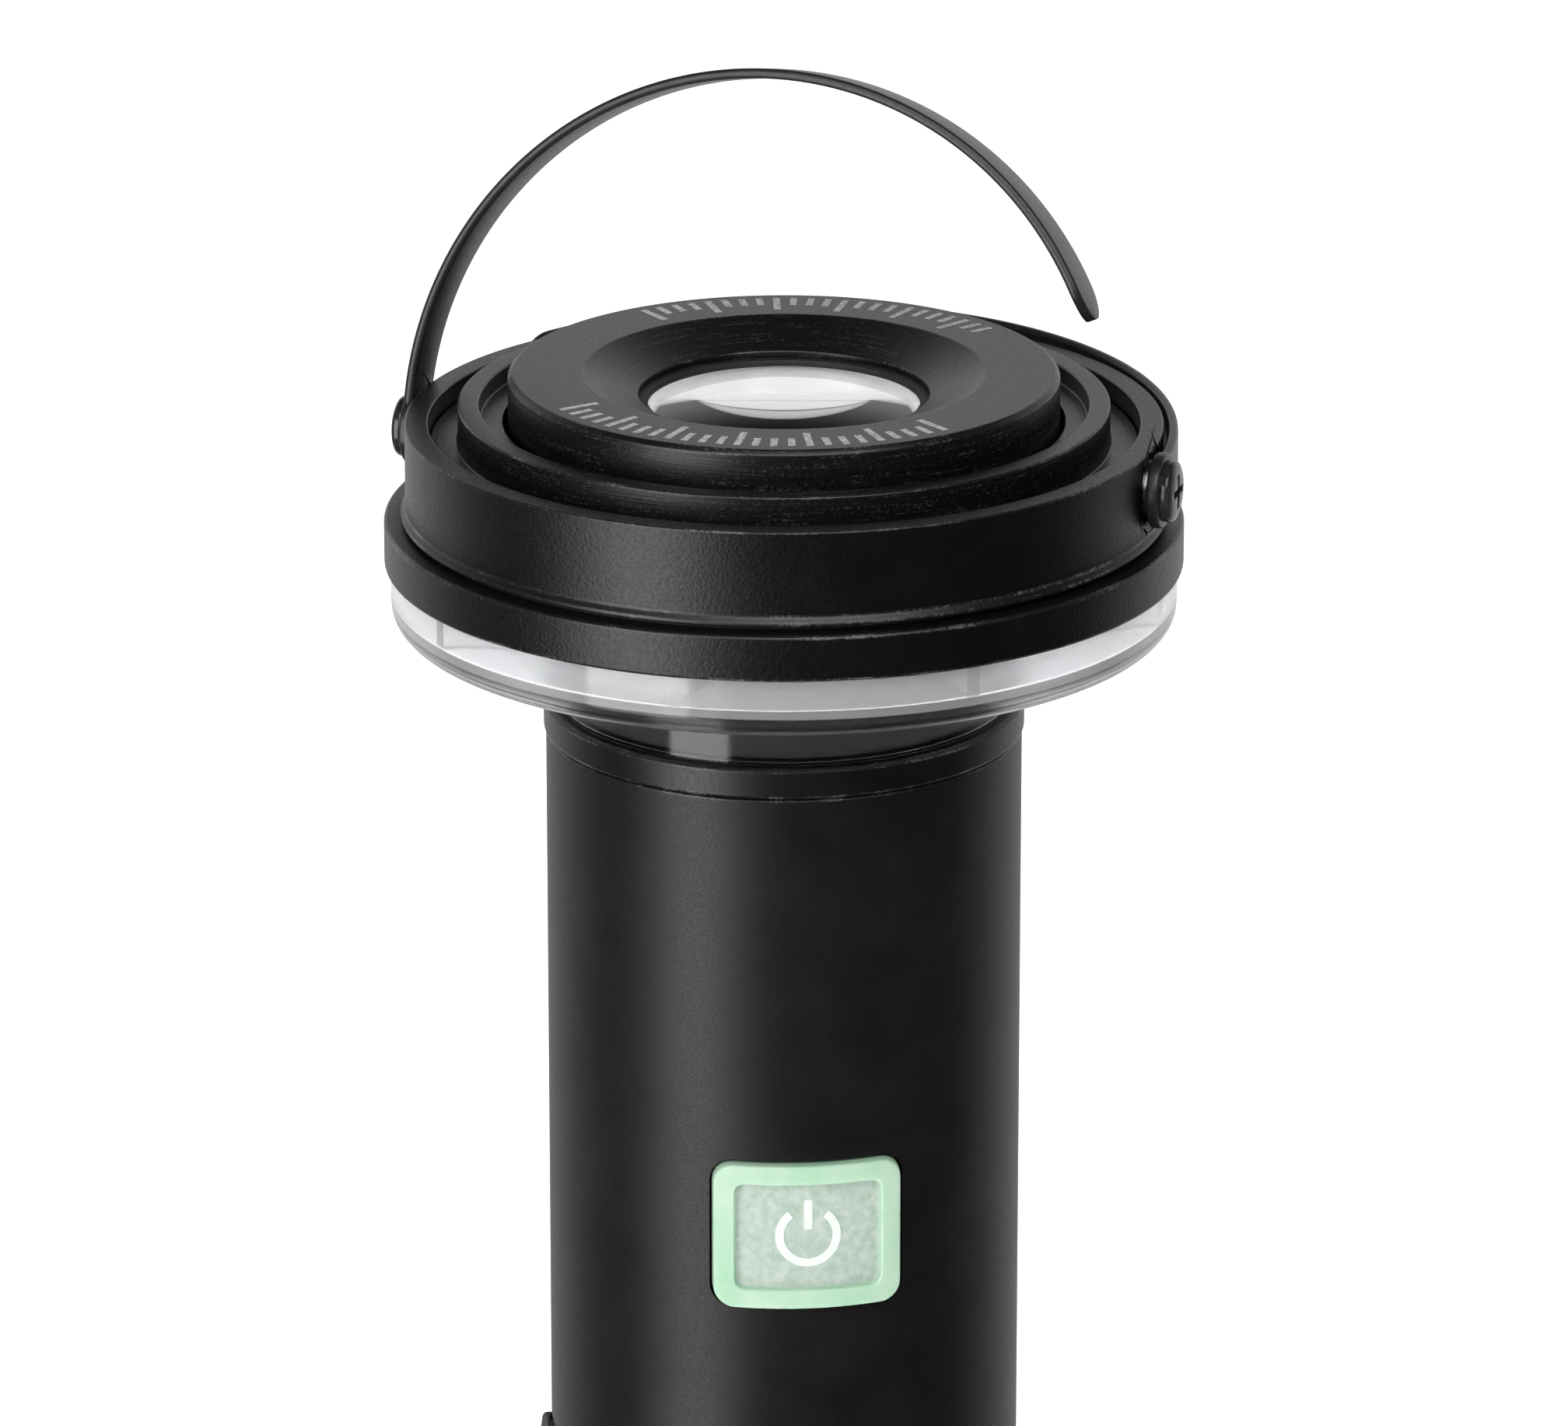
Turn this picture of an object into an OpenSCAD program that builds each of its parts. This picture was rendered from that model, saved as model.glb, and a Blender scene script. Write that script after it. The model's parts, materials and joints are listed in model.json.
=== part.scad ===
// Rechargeable torch and camp lantern with a wide head, a clear down-light ring, two folding hooks,
// a glow-green push button and a covered charging port.
// Frame: +Z up, origin at the centre of the base pad's rest face, button facing -Y.

/* [Overall] */
// Height from the rest face to the top of the bezel
total_h = 190; // [188:1:230]
// Outer diameter of the body tube
tube_d = 42; // [42:0.5:51]
// Wall of the body tube
tube_wall = 2; // [1.6:0.1:2.4]
// Diameter of the lower ring, the widest part of the head
ring_d = 70.1; // [64:0.1:85]

/* [Head] */
// Step in radius from the lower ring to the wall of the head housing
housing_step = 1.89; // [1.6:0.01:3]
// Wall of the head housing
housing_wall = 2.06; // [1.5:0.01:3]
// Drop from the bezel top to the rim of the housing
rim_drop = 4.4; // [3:0.1:5]
// Drop from the bezel top to the underside of the housing
housing_drop = 12.76; // [12:0.01:16]
// Thickness of the housing floor
housing_floor = 3; // [2:0.1:3.6]
// Bead that stands out at the foot of the housing
bead_out = 0.42; // [0.2:0.01:0.6]
// Thickness of the gasket between housing and lower ring
gasket_t = 0.26; // [0.2:0.01:0.6]
// Height of the lower ring
ring_h = 4.05; // [3.8:0.05:6]
// Web of the lower ring
web_t = 1.5; // [1:0.1:2]
// Skirt of the lower ring
skirt_t = 1.5; // [1:0.1:2]

/* [Bezel and lens] */
// Diameter of the bezel
bezel_d = 48.2; // [44:0.1:50]
// Chamfer round the bezel top
bezel_chamfer = 0.6; // [0.2:0.1:1]
// Height of the bezel
bezel_h = 7; // [6:0.1:9]
// Diameter of the lens opening
lens_hole_d = 25.4; // [20:0.1:27]
// Diameter of the countersink at the bezel top
dish_d = 35.2; // [30:0.1:38]
// Depth of the countersink
dish_depth = 2; // [1:0.1:2.4]
// Diameter of the lens flange
lens_d = 30.8; // [29:0.1:32]
// Thickness of the lens flange
lens_t = 1; // [0.6:0.1:1.6]
// Rise of the lens dome
lens_rise = 1.7; // [1:0.1:2.2]
// Thickness of the lens gasket
lens_gasket_t = 0.6; // [0.4:0.1:1]

/* [Heat sink] */
// Outer diameter of the cooling fin
fin_d = 57; // [54:0.1:58]
// Thickness of the cooling fin
fin_t = 1.9; // [1.2:0.1:2.2]
// Drop from the bezel top to the fin
fin_drop = 2.75; // [2:0.05:3.5]
// Drop from the bezel top to the inner groove
inner_groove_drop = 4.3; // [4:0.1:5.5]
// Drop from the bezel top to the outer groove
outer_groove_drop = 6.2; // [5.5:0.1:7]
// Outer diameter of the well that holds the spot light
well_d = 30.6; // [30:0.1:32]
// Wall of the well
well_wall = 1.9; // [1.2:0.1:2.2]
// Depth of the well's underside below the bezel top
well_drop = 20.5; // [19:0.1:22]
// Floor of the well
well_floor = 3; // [2:0.1:4]

/* [Down-light] */
// Set-back of the clear cover from the lower ring
cover_setback = 0.55; // [0.3:0.05:1]
// Height of the clear cover's outer wall
cover_h = 5.4; // [4.5:0.1:8]
// Wall of the clear cover
cover_wall = 1.6; // [1.2:0.1:2]
// Bottom plate of the clear cover
cover_floor = 2.2; // [1.6:0.1:2.6]
// Rounding at the cover's lower edge
cover_round = 1.9; // [1:0.1:2.2]
// Height of the clear neck below the cover
neck_h = 7.1; // [5:0.1:12]
// Step in radius from the tube to the clear neck
neck_step = 0.7; // [0.4:0.05:1.5]
// Number of white emitters
white_count = 24; // [12:6:30]
// Number of amber emitters
amber_count = 6; // [3:3:12]

/* [Hooks] */
// Gap between the housing wall and a folded hook
hook_gap = 0.29; // [0.2:0.01:1]
// Thickness of the hook strip
hook_t = 0.9; // [0.8:0.1:1.5]
// Width of the hook strip
hook_w = 5.8; // [4:0.1:6]
// Rise of the hook arc's centre above the pivot
hook_rise = 0.4; // [0:0.1:1]
// Arc of the hook from the pivot to its tip
hook_sweep = 150; // [130:1:152]
// Drop of the pivots below the bezel top
pivot_drop = 8; // [7:0.1:9]
// Turn of the pivot axis about Z
head_turn = -22; // [-45:1:0]
// Backward lean of the raised hook
raised_lean = 14.5; // [0:0.5:18]
// Loss of radius of the hook when it stands free of the wall
raised_relax = 2.3; // [0:0.1:2.5]
// Rise of the free hook's arc centre above the pivot
raised_rise = 1.8; // [0:0.1:2.2]
// Arc of the free hook from the pivot to its tip
raised_sweep = 157; // [130:1:158]
// Angle of the folded hook above level
folded_lift = 2.5; // [1:0.5:6]
// Radius of the eyelet
eye_r = 3.3; // [2.8:0.1:3.6]
// Radius of the pivot screw's shank
pivot_r = 1.45; // [1.2:0.05:1.6]
// Radius of the pivot screw's head
pivot_head_r = 2.7; // [2.4:0.1:3]

/* [Body] */
// Height of the neck collar
collar_h = 2.86; // [2:0.01:4]
// Step in radius from the tube out to the collar
collar_step = 0.2; // [0:0.05:0.5]
// Length of the collar's spigot in the tube
spigot_len = 12; // [8:0.5:16]
// Step in radius from the tube to the tail cap
cap_step = 2.2; // [1.8:0.1:4]
// Height of the tail cap's top edge above the rest face
cap_top = 21; // [14:0.5:30]
// Floor of the tail cap
cap_floor = 4.4; // [4:0.1:6]
// Number of grip flutes on the tail cap
flute_count = 30; // [12:1:36]
// Radius of a grip flute
flute_r = 1.3; // [0.8:0.1:1.6]
// Thickness of the base pad
pad_t = 1.6; // [1.2:0.1:2.4]
// Height that the pad stands out below the tail cap
pad_proud = 0.6; // [0.3:0.1:0.8]

/* [Button] */
// Width of the button
button_w = 16.5; // [12:0.1:20]
// Height of the button
button_h = 13.4; // [10:0.1:16.5]
// Corner radius of the button
button_corner = 1.8; // [1.5:0.1:4]
// Drop of the button's centre below the bezel top
button_drop = 72.7; // [60:0.1:76]
// Height of the button above the tube
button_proud = 0.8; // [0.4:0.1:1.5]
// Width of the button's raised rim
button_rim = 1.8; // [1:0.1:2.4]
// Depth of the panel inside the rim
panel_depth = 0.4; // [0.2:0.1:0.6]
// Clearance round the button
button_fit = 0.2; // [0.15:0.01:0.4]
// Flange that holds the button in the tube
flange_out = 1.75; // [1:0.05:2.5]
// Travel of the button
button_travel = 0.6; // [0.3:0.1:0.8]

/* [Charging port] */
// Width of the port cover
port_w = 13; // [12:0.1:15]
// Height of the port cover
port_h = 19.6; // [18:0.1:22]
// Thickness of the port cover
port_cover_t = 1.15; // [0.8:0.05:1.5]
// Width of the port recess
recess_w = 7.2; // [7:0.1:8]
// Height of the port recess
recess_h = 13.2; // [12:0.1:14]
// Depth of the recess floor below the tube's surface
recess_depth = 4.9; // [4.8:0.1:5.2]

/* [Cells and boards] */
// Diameter of a sleeved cell
cell_d = 18.3; // [17.8:0.1:18.5]
// Length of a cell
cell_len = 65; // [60:0.5:70]
// Thickness of the control board
board_t = 1.6; // [1:0.1:2]
// Fit between pieces that are fixed together
fit = 0.1; // [0.05:0.01:0.2]
// Radial clearance of a running fit
running = 0.06; // [0.02:0.01:0.1]

/* [Hidden] */
$fn = 96;
small_fn = 32;
over = 0.5;

tube_r = tube_d / 2;
bore_r = tube_r - tube_wall;
ring_r = ring_d / 2;
housing_r = ring_r - housing_step;
housing_bore_r = housing_r - housing_wall;
cover_r = ring_r - cover_setback;
bezel_r = bezel_d / 2;
lens_hole_r = lens_hole_d / 2;
lens_r = lens_d / 2;
fin_r = fin_d / 2;
well_r = well_d / 2;
well_bore_r = well_r - well_wall;
neck_r = tube_r - neck_step;
neck_bore_r = neck_r - cover_wall;
core_r = neck_bore_r - 6 * fit;
core_bore_r = well_r + 4 * fit;
inner_r = bore_r - 3 * fit;

// Heights in the head
z_top = total_h;
z_rim = z_top - rim_drop;
z_pivot = z_top - pivot_drop;
z_housing = z_top - housing_drop;
z_floor = z_housing + housing_floor;
z_ring_top = z_housing - gasket_t;
z_ring = z_ring_top - ring_h;
z_web = z_ring_top - web_t;
z_cover = z_ring - cover_h;
z_neck = z_cover - neck_h;
z_tube = z_neck - collar_h;
z_seat = z_top - bezel_h;
z_well = z_top - well_drop;
z_well_floor = z_well + well_floor;
down_board_t = 1.5;
z_down_board = z_web - down_board_t;
down_board_ri = neck_r + 3.3;
down_board_ro = cover_r - cover_wall - 1.3;
down_board_rm = (down_board_ri + down_board_ro) / 2;
emitter_circle = down_board_ro - 2;
emitter_t = 0.8;
flange_t = 1.5;

// Lens stack
z_gasket = z_top - dish_depth - 0.6;
z_lens_top = z_gasket - lens_gasket_t;
z_lens = z_lens_top - lens_t;
lens_dome_r = lens_hole_r - 0.9;
reflector_wall = 0.8;
led_board_t = 1.2;
z_led_board = z_well_floor + led_board_t;
reflector_foot_r = 3.4;
z_reflector = z_led_board + 0.5;

// Hooks
hook_r = housing_r + hook_gap + hook_t / 2;
hook_corner = 0.35;
eye_swell = 0.1;
pivot_head_h = 1.1;
pivot_head_u = hook_r + hook_t / 2 + eye_swell;
pivot_len = 7.5;
washer_t = 0.2;
flat_depth = 0.11;

// Tail and cells
z_cap = pad_proud;
z_cap_floor = z_cap + cap_floor;
z_tube_end = z_cap_floor + 2 * fit;
cap_r = tube_r + cap_step;
cap_round = 1.2;
foam_t = 1.2;
z_cell_board = z_cap_floor + foam_t;
cell_board_t = 1;
tab_t = 0.2;
z_cell = z_cell_board + cell_board_t + tab_t;
z_cell_top = z_cell + cell_len;
cell_r = cell_d / 2;
cell_x = cell_r + fit / 2;
holder_h = 6;
top_plate_t = 1;
z_top_plate = z_cell_top + tab_t;
carrier_t = 2.2;
z_carrier = z_top_plate + top_plate_t + 2 * fit;
magnet_ro = 15;
magnet_ri = 7;
magnet_t = 2.6;
pad_r = cap_r - 3.2;

// Port
socket_z = z_carrier + carrier_t + 8.5;
frame_wall = 1.2;
frame_floor = 1.2;
recess_x = tube_r - recess_depth;
cover_gap = 0.1;
cover_ri = tube_r + cover_gap;
cover_ro = cover_ri + port_cover_t;
cover_top = socket_z + 7.9;
hinge_z = cover_top - port_h;
hinge_gap = 0.3;
anchor_h = 3.4;
fold_r = 0.4;
fold_l = port_w - 6;
socket_l = 7.35;
socket_w = 8.94;
socket_t = 3.2;
socket_x = recess_x - 0.2;

// Button and switch
button_z = z_top - button_drop;
button_r = tube_r + button_proud;
flange_ro = bore_r - 3 * fit;
flange_ri = flange_ro - 1;
boss_r = 2.4;
switch_board_t = 1;
switch_board_y = flange_ri - 4.7;
switch_size = 6;
switch_h = 3.4;
plunger_r = 1.6;
plunger_y = switch_board_y + switch_h + 1;
switch_board_w = button_w + 2 * flange_out - 1;
switch_board_h = button_h + 2 * flange_out + 2;
symbol_r = 2.9;
symbol_w = 0.75;
symbol_depth = 0.5;

// Control board and its carrier
z_board = z_carrier + carrier_t + 1;
z_carrier_top = button_z + switch_board_h / 2 + 6;
z_board_top = z_carrier_top - 2;
board_x0 = -(recess_x - frame_floor - 2 * fit);
board_x1 = inner_r - 1.7;
post_x = 8;
post_z = [z_board + 18, z_board_top - 6];
post_r = 2.2;
post_bore_r = 0.9;
lead_r = 0.75;
lead_x = 4.5;
lead_y = 3.4;

// Flat ring between two heights
module ring(ro, ri, z0, z1) {
  difference() {
    translate([0, 0, z0]) cylinder(r = ro, h = z1 - z0);
    translate([0, 0, z0 - over]) cylinder(r = ri, h = z1 - z0 + 2 * over);
  }
}

module disc(r, z0, z1) {
  translate([0, 0, z0]) cylinder(r = r, h = z1 - z0);
}

// Rectangle with round corners, centred
module rounded_rect(w, h, r) {
  square([w - 2 * r, h], center = true);
  square([w, h - 2 * r], center = true);
  for (sx = [-1, 1], sy = [-1, 1])
    translate([sx * (w / 2 - r), sy * (h / 2 - r)]) circle(r = r, $fn = small_fn);
}

// Extrudes an outline, drawn as seen from the front, between two distances in front of the axis
module to_front(y0, y1) {
  translate([0, -y0, 0]) rotate([90, 0, 0]) linear_extrude(y1 - y0) children();
}

// The same, on the port's side
module to_port(x0, x1) {
  rotate([0, 0, -90]) to_front(x0, x1) children();
}

// Copies a shape round the axis
module around(count, radius, start = 0) {
  for (i = [0 : count - 1])
    rotate([0, 0, start + i * 360 / count]) translate([radius, 0, 0]) children();
}

// Plate that follows the tube, facing the front
module curved_plate(w, h, corner, ri, ro) {
  intersection() {
    to_front(ri * 0.5, ro + 1) rounded_rect(w, h, corner);
    ring(ro, ri, -h, h);
  }
}

// Cross-head screw along +Z, with the underside of its head at z = 0
module cross_screw(head_r, head_h, shank_r, len) {
  difference() {
    union() {
      intersection() {
        cylinder(r = head_r, h = head_h, $fn = small_fn * 2);
        translate([0, 0, head_h - 2.2 * head_r]) sphere(r = 2.2 * head_r);
      }
      translate([0, 0, -len]) cylinder(r = shank_r, h = len + head_h / 2, $fn = small_fn * 2);
    }
    for (a = [0, 90])
      rotate([0, 0, a]) translate([-head_r * 0.55, -head_r * 0.12, head_h * 0.45])
        cube([head_r * 1.1, head_r * 0.24, head_h]);
  }
}

// Places a shape that points along +Z at a pivot, pointing outwards; side is 1 right, -1 left
module at_pivot(side, u) {
  rotate([0, 0, head_turn]) translate([side * u, 0, z_pivot]) rotate([0, side * 90, 0]) children();
}

// ---- Spot light ----

module bezel() {
  color([0.16, 0.16, 0.17])
    rotate_extrude() polygon([
      [lens_hole_r, z_gasket], [lens_hole_r, z_top - dish_depth], [dish_d / 2, z_top],
      [bezel_r - bezel_chamfer, z_top], [bezel_r, z_top - bezel_chamfer], [bezel_r, z_seat],
      [lens_r + fit, z_seat], [lens_r + fit, z_gasket]
    ]);
}

module lens_gasket() {
  color([0.05, 0.05, 0.05]) ring(lens_r, lens_dome_r + 0.1, z_lens_top, z_gasket);
}

module lens() {
  dome = (lens_dome_r * lens_dome_r + lens_rise * lens_rise) / (2 * lens_rise);
  color([0.85, 0.9, 0.95]) union() {
    disc(lens_r, z_lens, z_lens_top);
    intersection() {
      disc(lens_dome_r, z_lens + lens_t / 2, z_top);
      translate([0, 0, z_lens_top + lens_rise - dome]) sphere(r = dome, $fn = 180);
    }
  }
}

// Bowl of the reflector: radius grows with the square root of the height
function bowl_r(z) = reflector_foot_r
  + (well_bore_r - 1 - reflector_foot_r) * sqrt((z - z_reflector) / (z_lens - z_reflector));

module reflector() {
  steps = 14;
  inner = [for (i = [0 : steps]) let (z = z_reflector + (z_lens - z_reflector) * pow(i / steps, 2))
    [bowl_r(z), z]];
  outer = [for (i = [steps : -1 : 0]) let (z = z_reflector + (z_lens - z_reflector) * pow(i / steps, 2))
    [bowl_r(z) + reflector_wall, z]];
  color([0.9, 0.9, 0.92]) union() {
    rotate_extrude() polygon(concat(inner, outer));
    ring(lens_r - fit, well_bore_r - 1 + reflector_wall / 2, z_lens - 1, z_lens);
  }
}

module spot_led_board() {
  color([0.9, 0.9, 0.88]) difference() {
    disc(well_bore_r - fit, z_well_floor, z_led_board);
    around(2, 9.2) disc(1.3, z_well_floor - over, z_led_board + over);
  }
}

module spot_led() {
  color([0.95, 0.85, 0.3]) union() {
    translate([-2.5, -2.5, z_led_board]) cube([5, 5, 0.5]);
    intersection() {
      disc(1.9, z_led_board, z_led_board + 3);
      translate([0, 0, z_led_board + 0.4]) sphere(r = 1.9, $fn = small_fn);
    }
  }
}

module led_screws() {
  color([0.7, 0.7, 0.72]) around(2, 9.2) translate([0, 0, z_led_board]) cross_screw(1.9, 1.2, 1.2, 3.2);
}

module heat_sink() {
  color([0.15, 0.15, 0.16]) difference() {
    rotate_extrude() polygon([
      [0, z_well], [well_r, z_well], [well_r, z_floor], [housing_bore_r - fit, z_floor],
      [housing_bore_r - fit, z_top - outer_groove_drop], [fin_r, z_top - outer_groove_drop],
      [fin_r, z_top - fin_drop], [fin_r - fin_t, z_top - fin_drop],
      [fin_r - fin_t, z_top - inner_groove_drop], [bezel_r + fit, z_top - inner_groove_drop],
      [bezel_r + fit, z_seat], [well_bore_r, z_seat], [well_bore_r, z_well_floor], [0, z_well_floor]
    ]);
    around(2, 9.2) disc(1.25, z_well_floor - 2.2, z_well_floor + over);
    for (side = [-1, 1]) at_pivot(side, pivot_head_u - pivot_len - 0.3)
      cylinder(r = pivot_r + 0.05, h = pivot_len, $fn = small_fn * 2);
    around(4, neck_r - 0.1, 45) disc(1.3, z_floor - over, z_floor + 2);
  }
}

// ---- Head ----

module head_housing() {
  color([0.12, 0.12, 0.13]) difference() {
    rotate_extrude() polygon([
      [well_r + 2 * fit, z_housing], [housing_r, z_housing], [housing_r + bead_out, z_housing + 0.1],
      [housing_r + bead_out, z_housing + 0.35], [housing_r, z_housing + 0.9],
      [housing_r, z_rim - 0.3], [housing_r - 0.3, z_rim], [housing_bore_r, z_rim],
      [housing_bore_r, z_floor], [well_r + 2 * fit, z_floor]
    ]);
    for (side = [-1, 1]) {
      at_pivot(side, housing_bore_r - 2) cylinder(r = pivot_r + 0.05, h = 6, $fn = small_fn * 2);
      at_pivot(side, housing_r - flat_depth) cylinder(r = eye_r + 0.4, h = 3, $fn = small_fn * 2);
    }
    around(4, neck_r - 0.1, 45) disc(1.3, z_housing - over, z_floor + over);
  }
}

module pivot_screws() {
  color([0.1, 0.1, 0.1]) for (side = [-1, 1])
    at_pivot(side, pivot_head_u) cross_screw(pivot_head_r, pivot_head_h, pivot_r, pivot_len);
}

module pivot_washers() {
  color([0.3, 0.3, 0.3]) for (side = [-1, 1])
    at_pivot(side, housing_r - flat_depth) ring(2.6, pivot_r + running, 0, washer_t);
}

// Rounded cross-section of the hook strip
module hook_section(r) {
  translate([r, 0]) rounded_rect(hook_t, hook_w, hook_corner);
}

// One hook, raised in the XZ plane, its eyelet on the -X side and its pivot axis along X
module hook_shape(r, rise, sweep) {
  tip = 180 - sweep;
  tip_r = hook_w / 2 + 0.3;
  difference() {
    union() {
      translate([-hook_r - hook_t / 2 - eye_swell / 2, 0, 0]) rotate([0, 90, 0])
        cylinder(r = eye_r, h = hook_t + 1.5 * eye_swell, $fn = small_fn * 2);
      translate([r - hook_r, 0, rise]) rotate([90, 0, 0]) rotate([0, 0, tip])
        rotate_extrude(angle = sweep) hook_section(r);
    }
    translate([r - hook_r, 0, rise]) rotate([0, -tip, 0]) translate([r - 3, 0, 0]) difference() {
      translate([0, -hook_w, -3]) cube([6, 2 * hook_w, tip_r + 3]);
      translate([-1, 0, tip_r]) rotate([0, 90, 0]) cylinder(r = tip_r, h = 8, $fn = small_fn * 2);
      translate([-1, -2 * hook_w, tip_r]) cube([8, 4 * hook_w, tip_r]);
    }
    translate([-hook_r - hook_t * 1.5, 0, 0]) rotate([0, 90, 0])
      cylinder(r = pivot_r + running, h = 3 * hook_t, $fn = small_fn * 2);
  }
}

module hook_left() {
  color([0.18, 0.18, 0.18])
    rotate([0, 0, head_turn]) translate([0, 0, z_pivot]) rotate([-raised_lean, 0, 0])
      hook_shape(hook_r - raised_relax, raised_rise, raised_sweep);
}

module hook_right() {
  color([0.18, 0.18, 0.18])
    rotate([0, 0, head_turn]) translate([0, 0, z_pivot]) rotate([folded_lift - 90, 0, 0])
      mirror([1, 0, 0]) hook_shape(hook_r, hook_rise, hook_sweep);
}

module housing_gasket() {
  color([0.04, 0.04, 0.04]) ring(housing_r - 0.3, housing_r - 3, z_ring_top, z_housing);
}

// ---- Down-light ----

module lower_ring() {
  color([0.1, 0.1, 0.11]) difference() {
    rotate_extrude() polygon([
      [core_bore_r, z_web], [ring_r - skirt_t, z_web], [ring_r - skirt_t, z_ring], [ring_r, z_ring],
      [ring_r, z_ring_top - 0.25], [ring_r - 0.25, z_ring_top], [core_bore_r, z_ring_top]
    ]);
    around(4, neck_r - 0.1, 45) disc(1.3, z_web - over, z_ring_top + over);
    around(3, down_board_rm, 30) disc(1.05, z_web - over, z_ring_top + over);
  }
}

module downlight_board() {
  color([0.92, 0.92, 0.9]) difference() {
    ring(down_board_ro, down_board_ri, z_down_board, z_web);
    around(3, down_board_rm, 30) disc(1.05, z_down_board - over, z_web + over);
  }
}

// A flat square emitter below the board
module emitter(size) {
  translate([-size / 2, -size / 2, z_down_board - emitter_t]) cube([size, size, emitter_t]);
}

module white_leds() {
  color([0.98, 0.95, 0.7]) around(white_count, emitter_circle, 180 / white_count) emitter(2.4);
}

module amber_leds() {
  color([0.95, 0.55, 0.1]) around(amber_count, emitter_circle, 0) emitter(2.8);
}

module downlight_screws() {
  color([0.75, 0.75, 0.77]) around(3, down_board_rm, 30)
    translate([0, 0, z_down_board]) mirror([0, 0, 1]) cross_screw(1.8, 1, 1, down_board_t + web_t - 0.2);
}

module light_cover() {
  lip_r = ring_r - skirt_t - 3 * fit;
  c = cover_round;
  color([0.85, 0.9, 0.95]) union() {
    rotate_extrude() union() {
      polygon([
        [neck_bore_r, z_neck], [neck_r, z_neck], [neck_r, z_cover], [cover_r - c, z_cover],
        [cover_r - c, z_cover + c], [cover_r, z_cover + c], [cover_r, z_ring], [lip_r, z_ring],
        [lip_r, z_ring + 0.9], [lip_r - 1, z_ring + 0.9], [cover_r - cover_wall, z_ring - 0.4],
        [cover_r - cover_wall, z_cover + cover_floor], [neck_bore_r, z_cover + cover_floor]
      ]);
      intersection() {
        translate([cover_r - c, z_cover + c]) circle(r = c, $fn = small_fn * 2);
        translate([cover_r - c, z_cover]) square([c, c]);
      }
    }
    for (i = [0 : 7]) rotate([0, 0, head_turn + i * 45])
      translate([neck_r + 2, -0.6, z_cover + cover_floor / 2])
        cube([cover_r - cover_wall / 2 - neck_r - 2, 1.2, z_ring - 0.5 - z_cover - cover_floor / 2]);
  }
}

module neck_core() {
  flange_r = neck_r + 2.7;
  color([0.08, 0.08, 0.09]) difference() {
    rotate_extrude() polygon([
      [core_bore_r, z_neck - 1], [core_r, z_neck - 1], [core_r, z_web - flange_t],
      [flange_r, z_web - flange_t], [flange_r, z_web], [core_bore_r, z_web]
    ]);
    around(4, neck_r - 0.1, 45) disc(1.3, z_web - flange_t - over, z_web + over);
  }
}

module core_screws() {
  color([0.75, 0.75, 0.77]) around(4, neck_r - 0.1, 45)
    translate([0, 0, z_web - flange_t]) mirror([0, 0, 1])
      cross_screw(2.1, 1.2, 1.25, flange_t + web_t + gasket_t + housing_floor + 1.5);
}

// ---- Neck and tube ----

module neck_collar() {
  collar_r = tube_r + collar_step;
  spigot_r = bore_r - fit;
  groove_r = spigot_r - 1.8;
  z_groove = z_tube - spigot_len / 2;
  color([0.1, 0.1, 0.11]) rotate_extrude() polygon([
    [core_bore_r, z_tube - spigot_len], [spigot_r - 0.5, z_tube - spigot_len],
    [spigot_r, z_tube - spigot_len + 0.5], [spigot_r, z_groove - 1], [groove_r, z_groove - 1],
    [groove_r, z_groove + 1], [spigot_r, z_groove + 1], [spigot_r, z_tube], [collar_r, z_tube],
    [collar_r, z_neck - 0.3], [collar_r - 0.3, z_neck], [core_r + fit, z_neck],
    [core_r + fit, z_neck - 1], [core_bore_r, z_neck - 1]
  ]);
}

module collar_seal() {
  color([0.04, 0.04, 0.04]) rotate_extrude()
    translate([bore_r - 0.05 - 0.85, z_tube - spigot_len / 2]) circle(r = 0.85, $fn = small_fn);
}

module body_tube() {
  color([0.1, 0.1, 0.11]) difference() {
    rotate_extrude() polygon([
      [bore_r, z_tube_end], [tube_r - 0.4, z_tube_end], [tube_r, z_tube_end + 0.4],
      [tube_r, z_tube - 0.3], [tube_r - 0.3, z_tube], [bore_r, z_tube]
    ]);
    translate([0, 0, button_z]) to_front(bore_r * 0.6, tube_r + 1)
      rounded_rect(button_w + 2 * button_fit, button_h + 2 * button_fit, button_corner + button_fit);
    translate([0, 0, socket_z]) to_port(bore_r * 0.8, tube_r + 1)
      rounded_rect(recess_w + 2 * frame_wall + 2 * fit, recess_h + 2 * frame_wall + 2 * fit, 1.5);
    translate([0, 0, hinge_z - hinge_gap - anchor_h / 2]) to_port(bore_r * 0.8, tube_r + 1)
      circle(r = 1 + fit / 2, $fn = small_fn);
  }
}

// ---- Button ----

// Power symbol as seen from the front
module symbol_outline() {
  difference() {
    circle(r = symbol_r, $fn = small_fn * 2);
    circle(r = symbol_r - symbol_w, $fn = small_fn * 2);
    translate([-symbol_w * 1.3, 0]) square([symbol_w * 2.6, symbol_r + 1]);
  }
  translate([-symbol_w / 2, symbol_r * 0.2]) square([symbol_w, symbol_r * 0.95]);
}

module symbol_solid() {
  panel_r = button_r - panel_depth;
  intersection() {
    to_front(bore_r, button_r + 1) symbol_outline();
    ring(panel_r, panel_r - symbol_depth, -symbol_r * 2, symbol_r * 2);
  }
}

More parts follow.
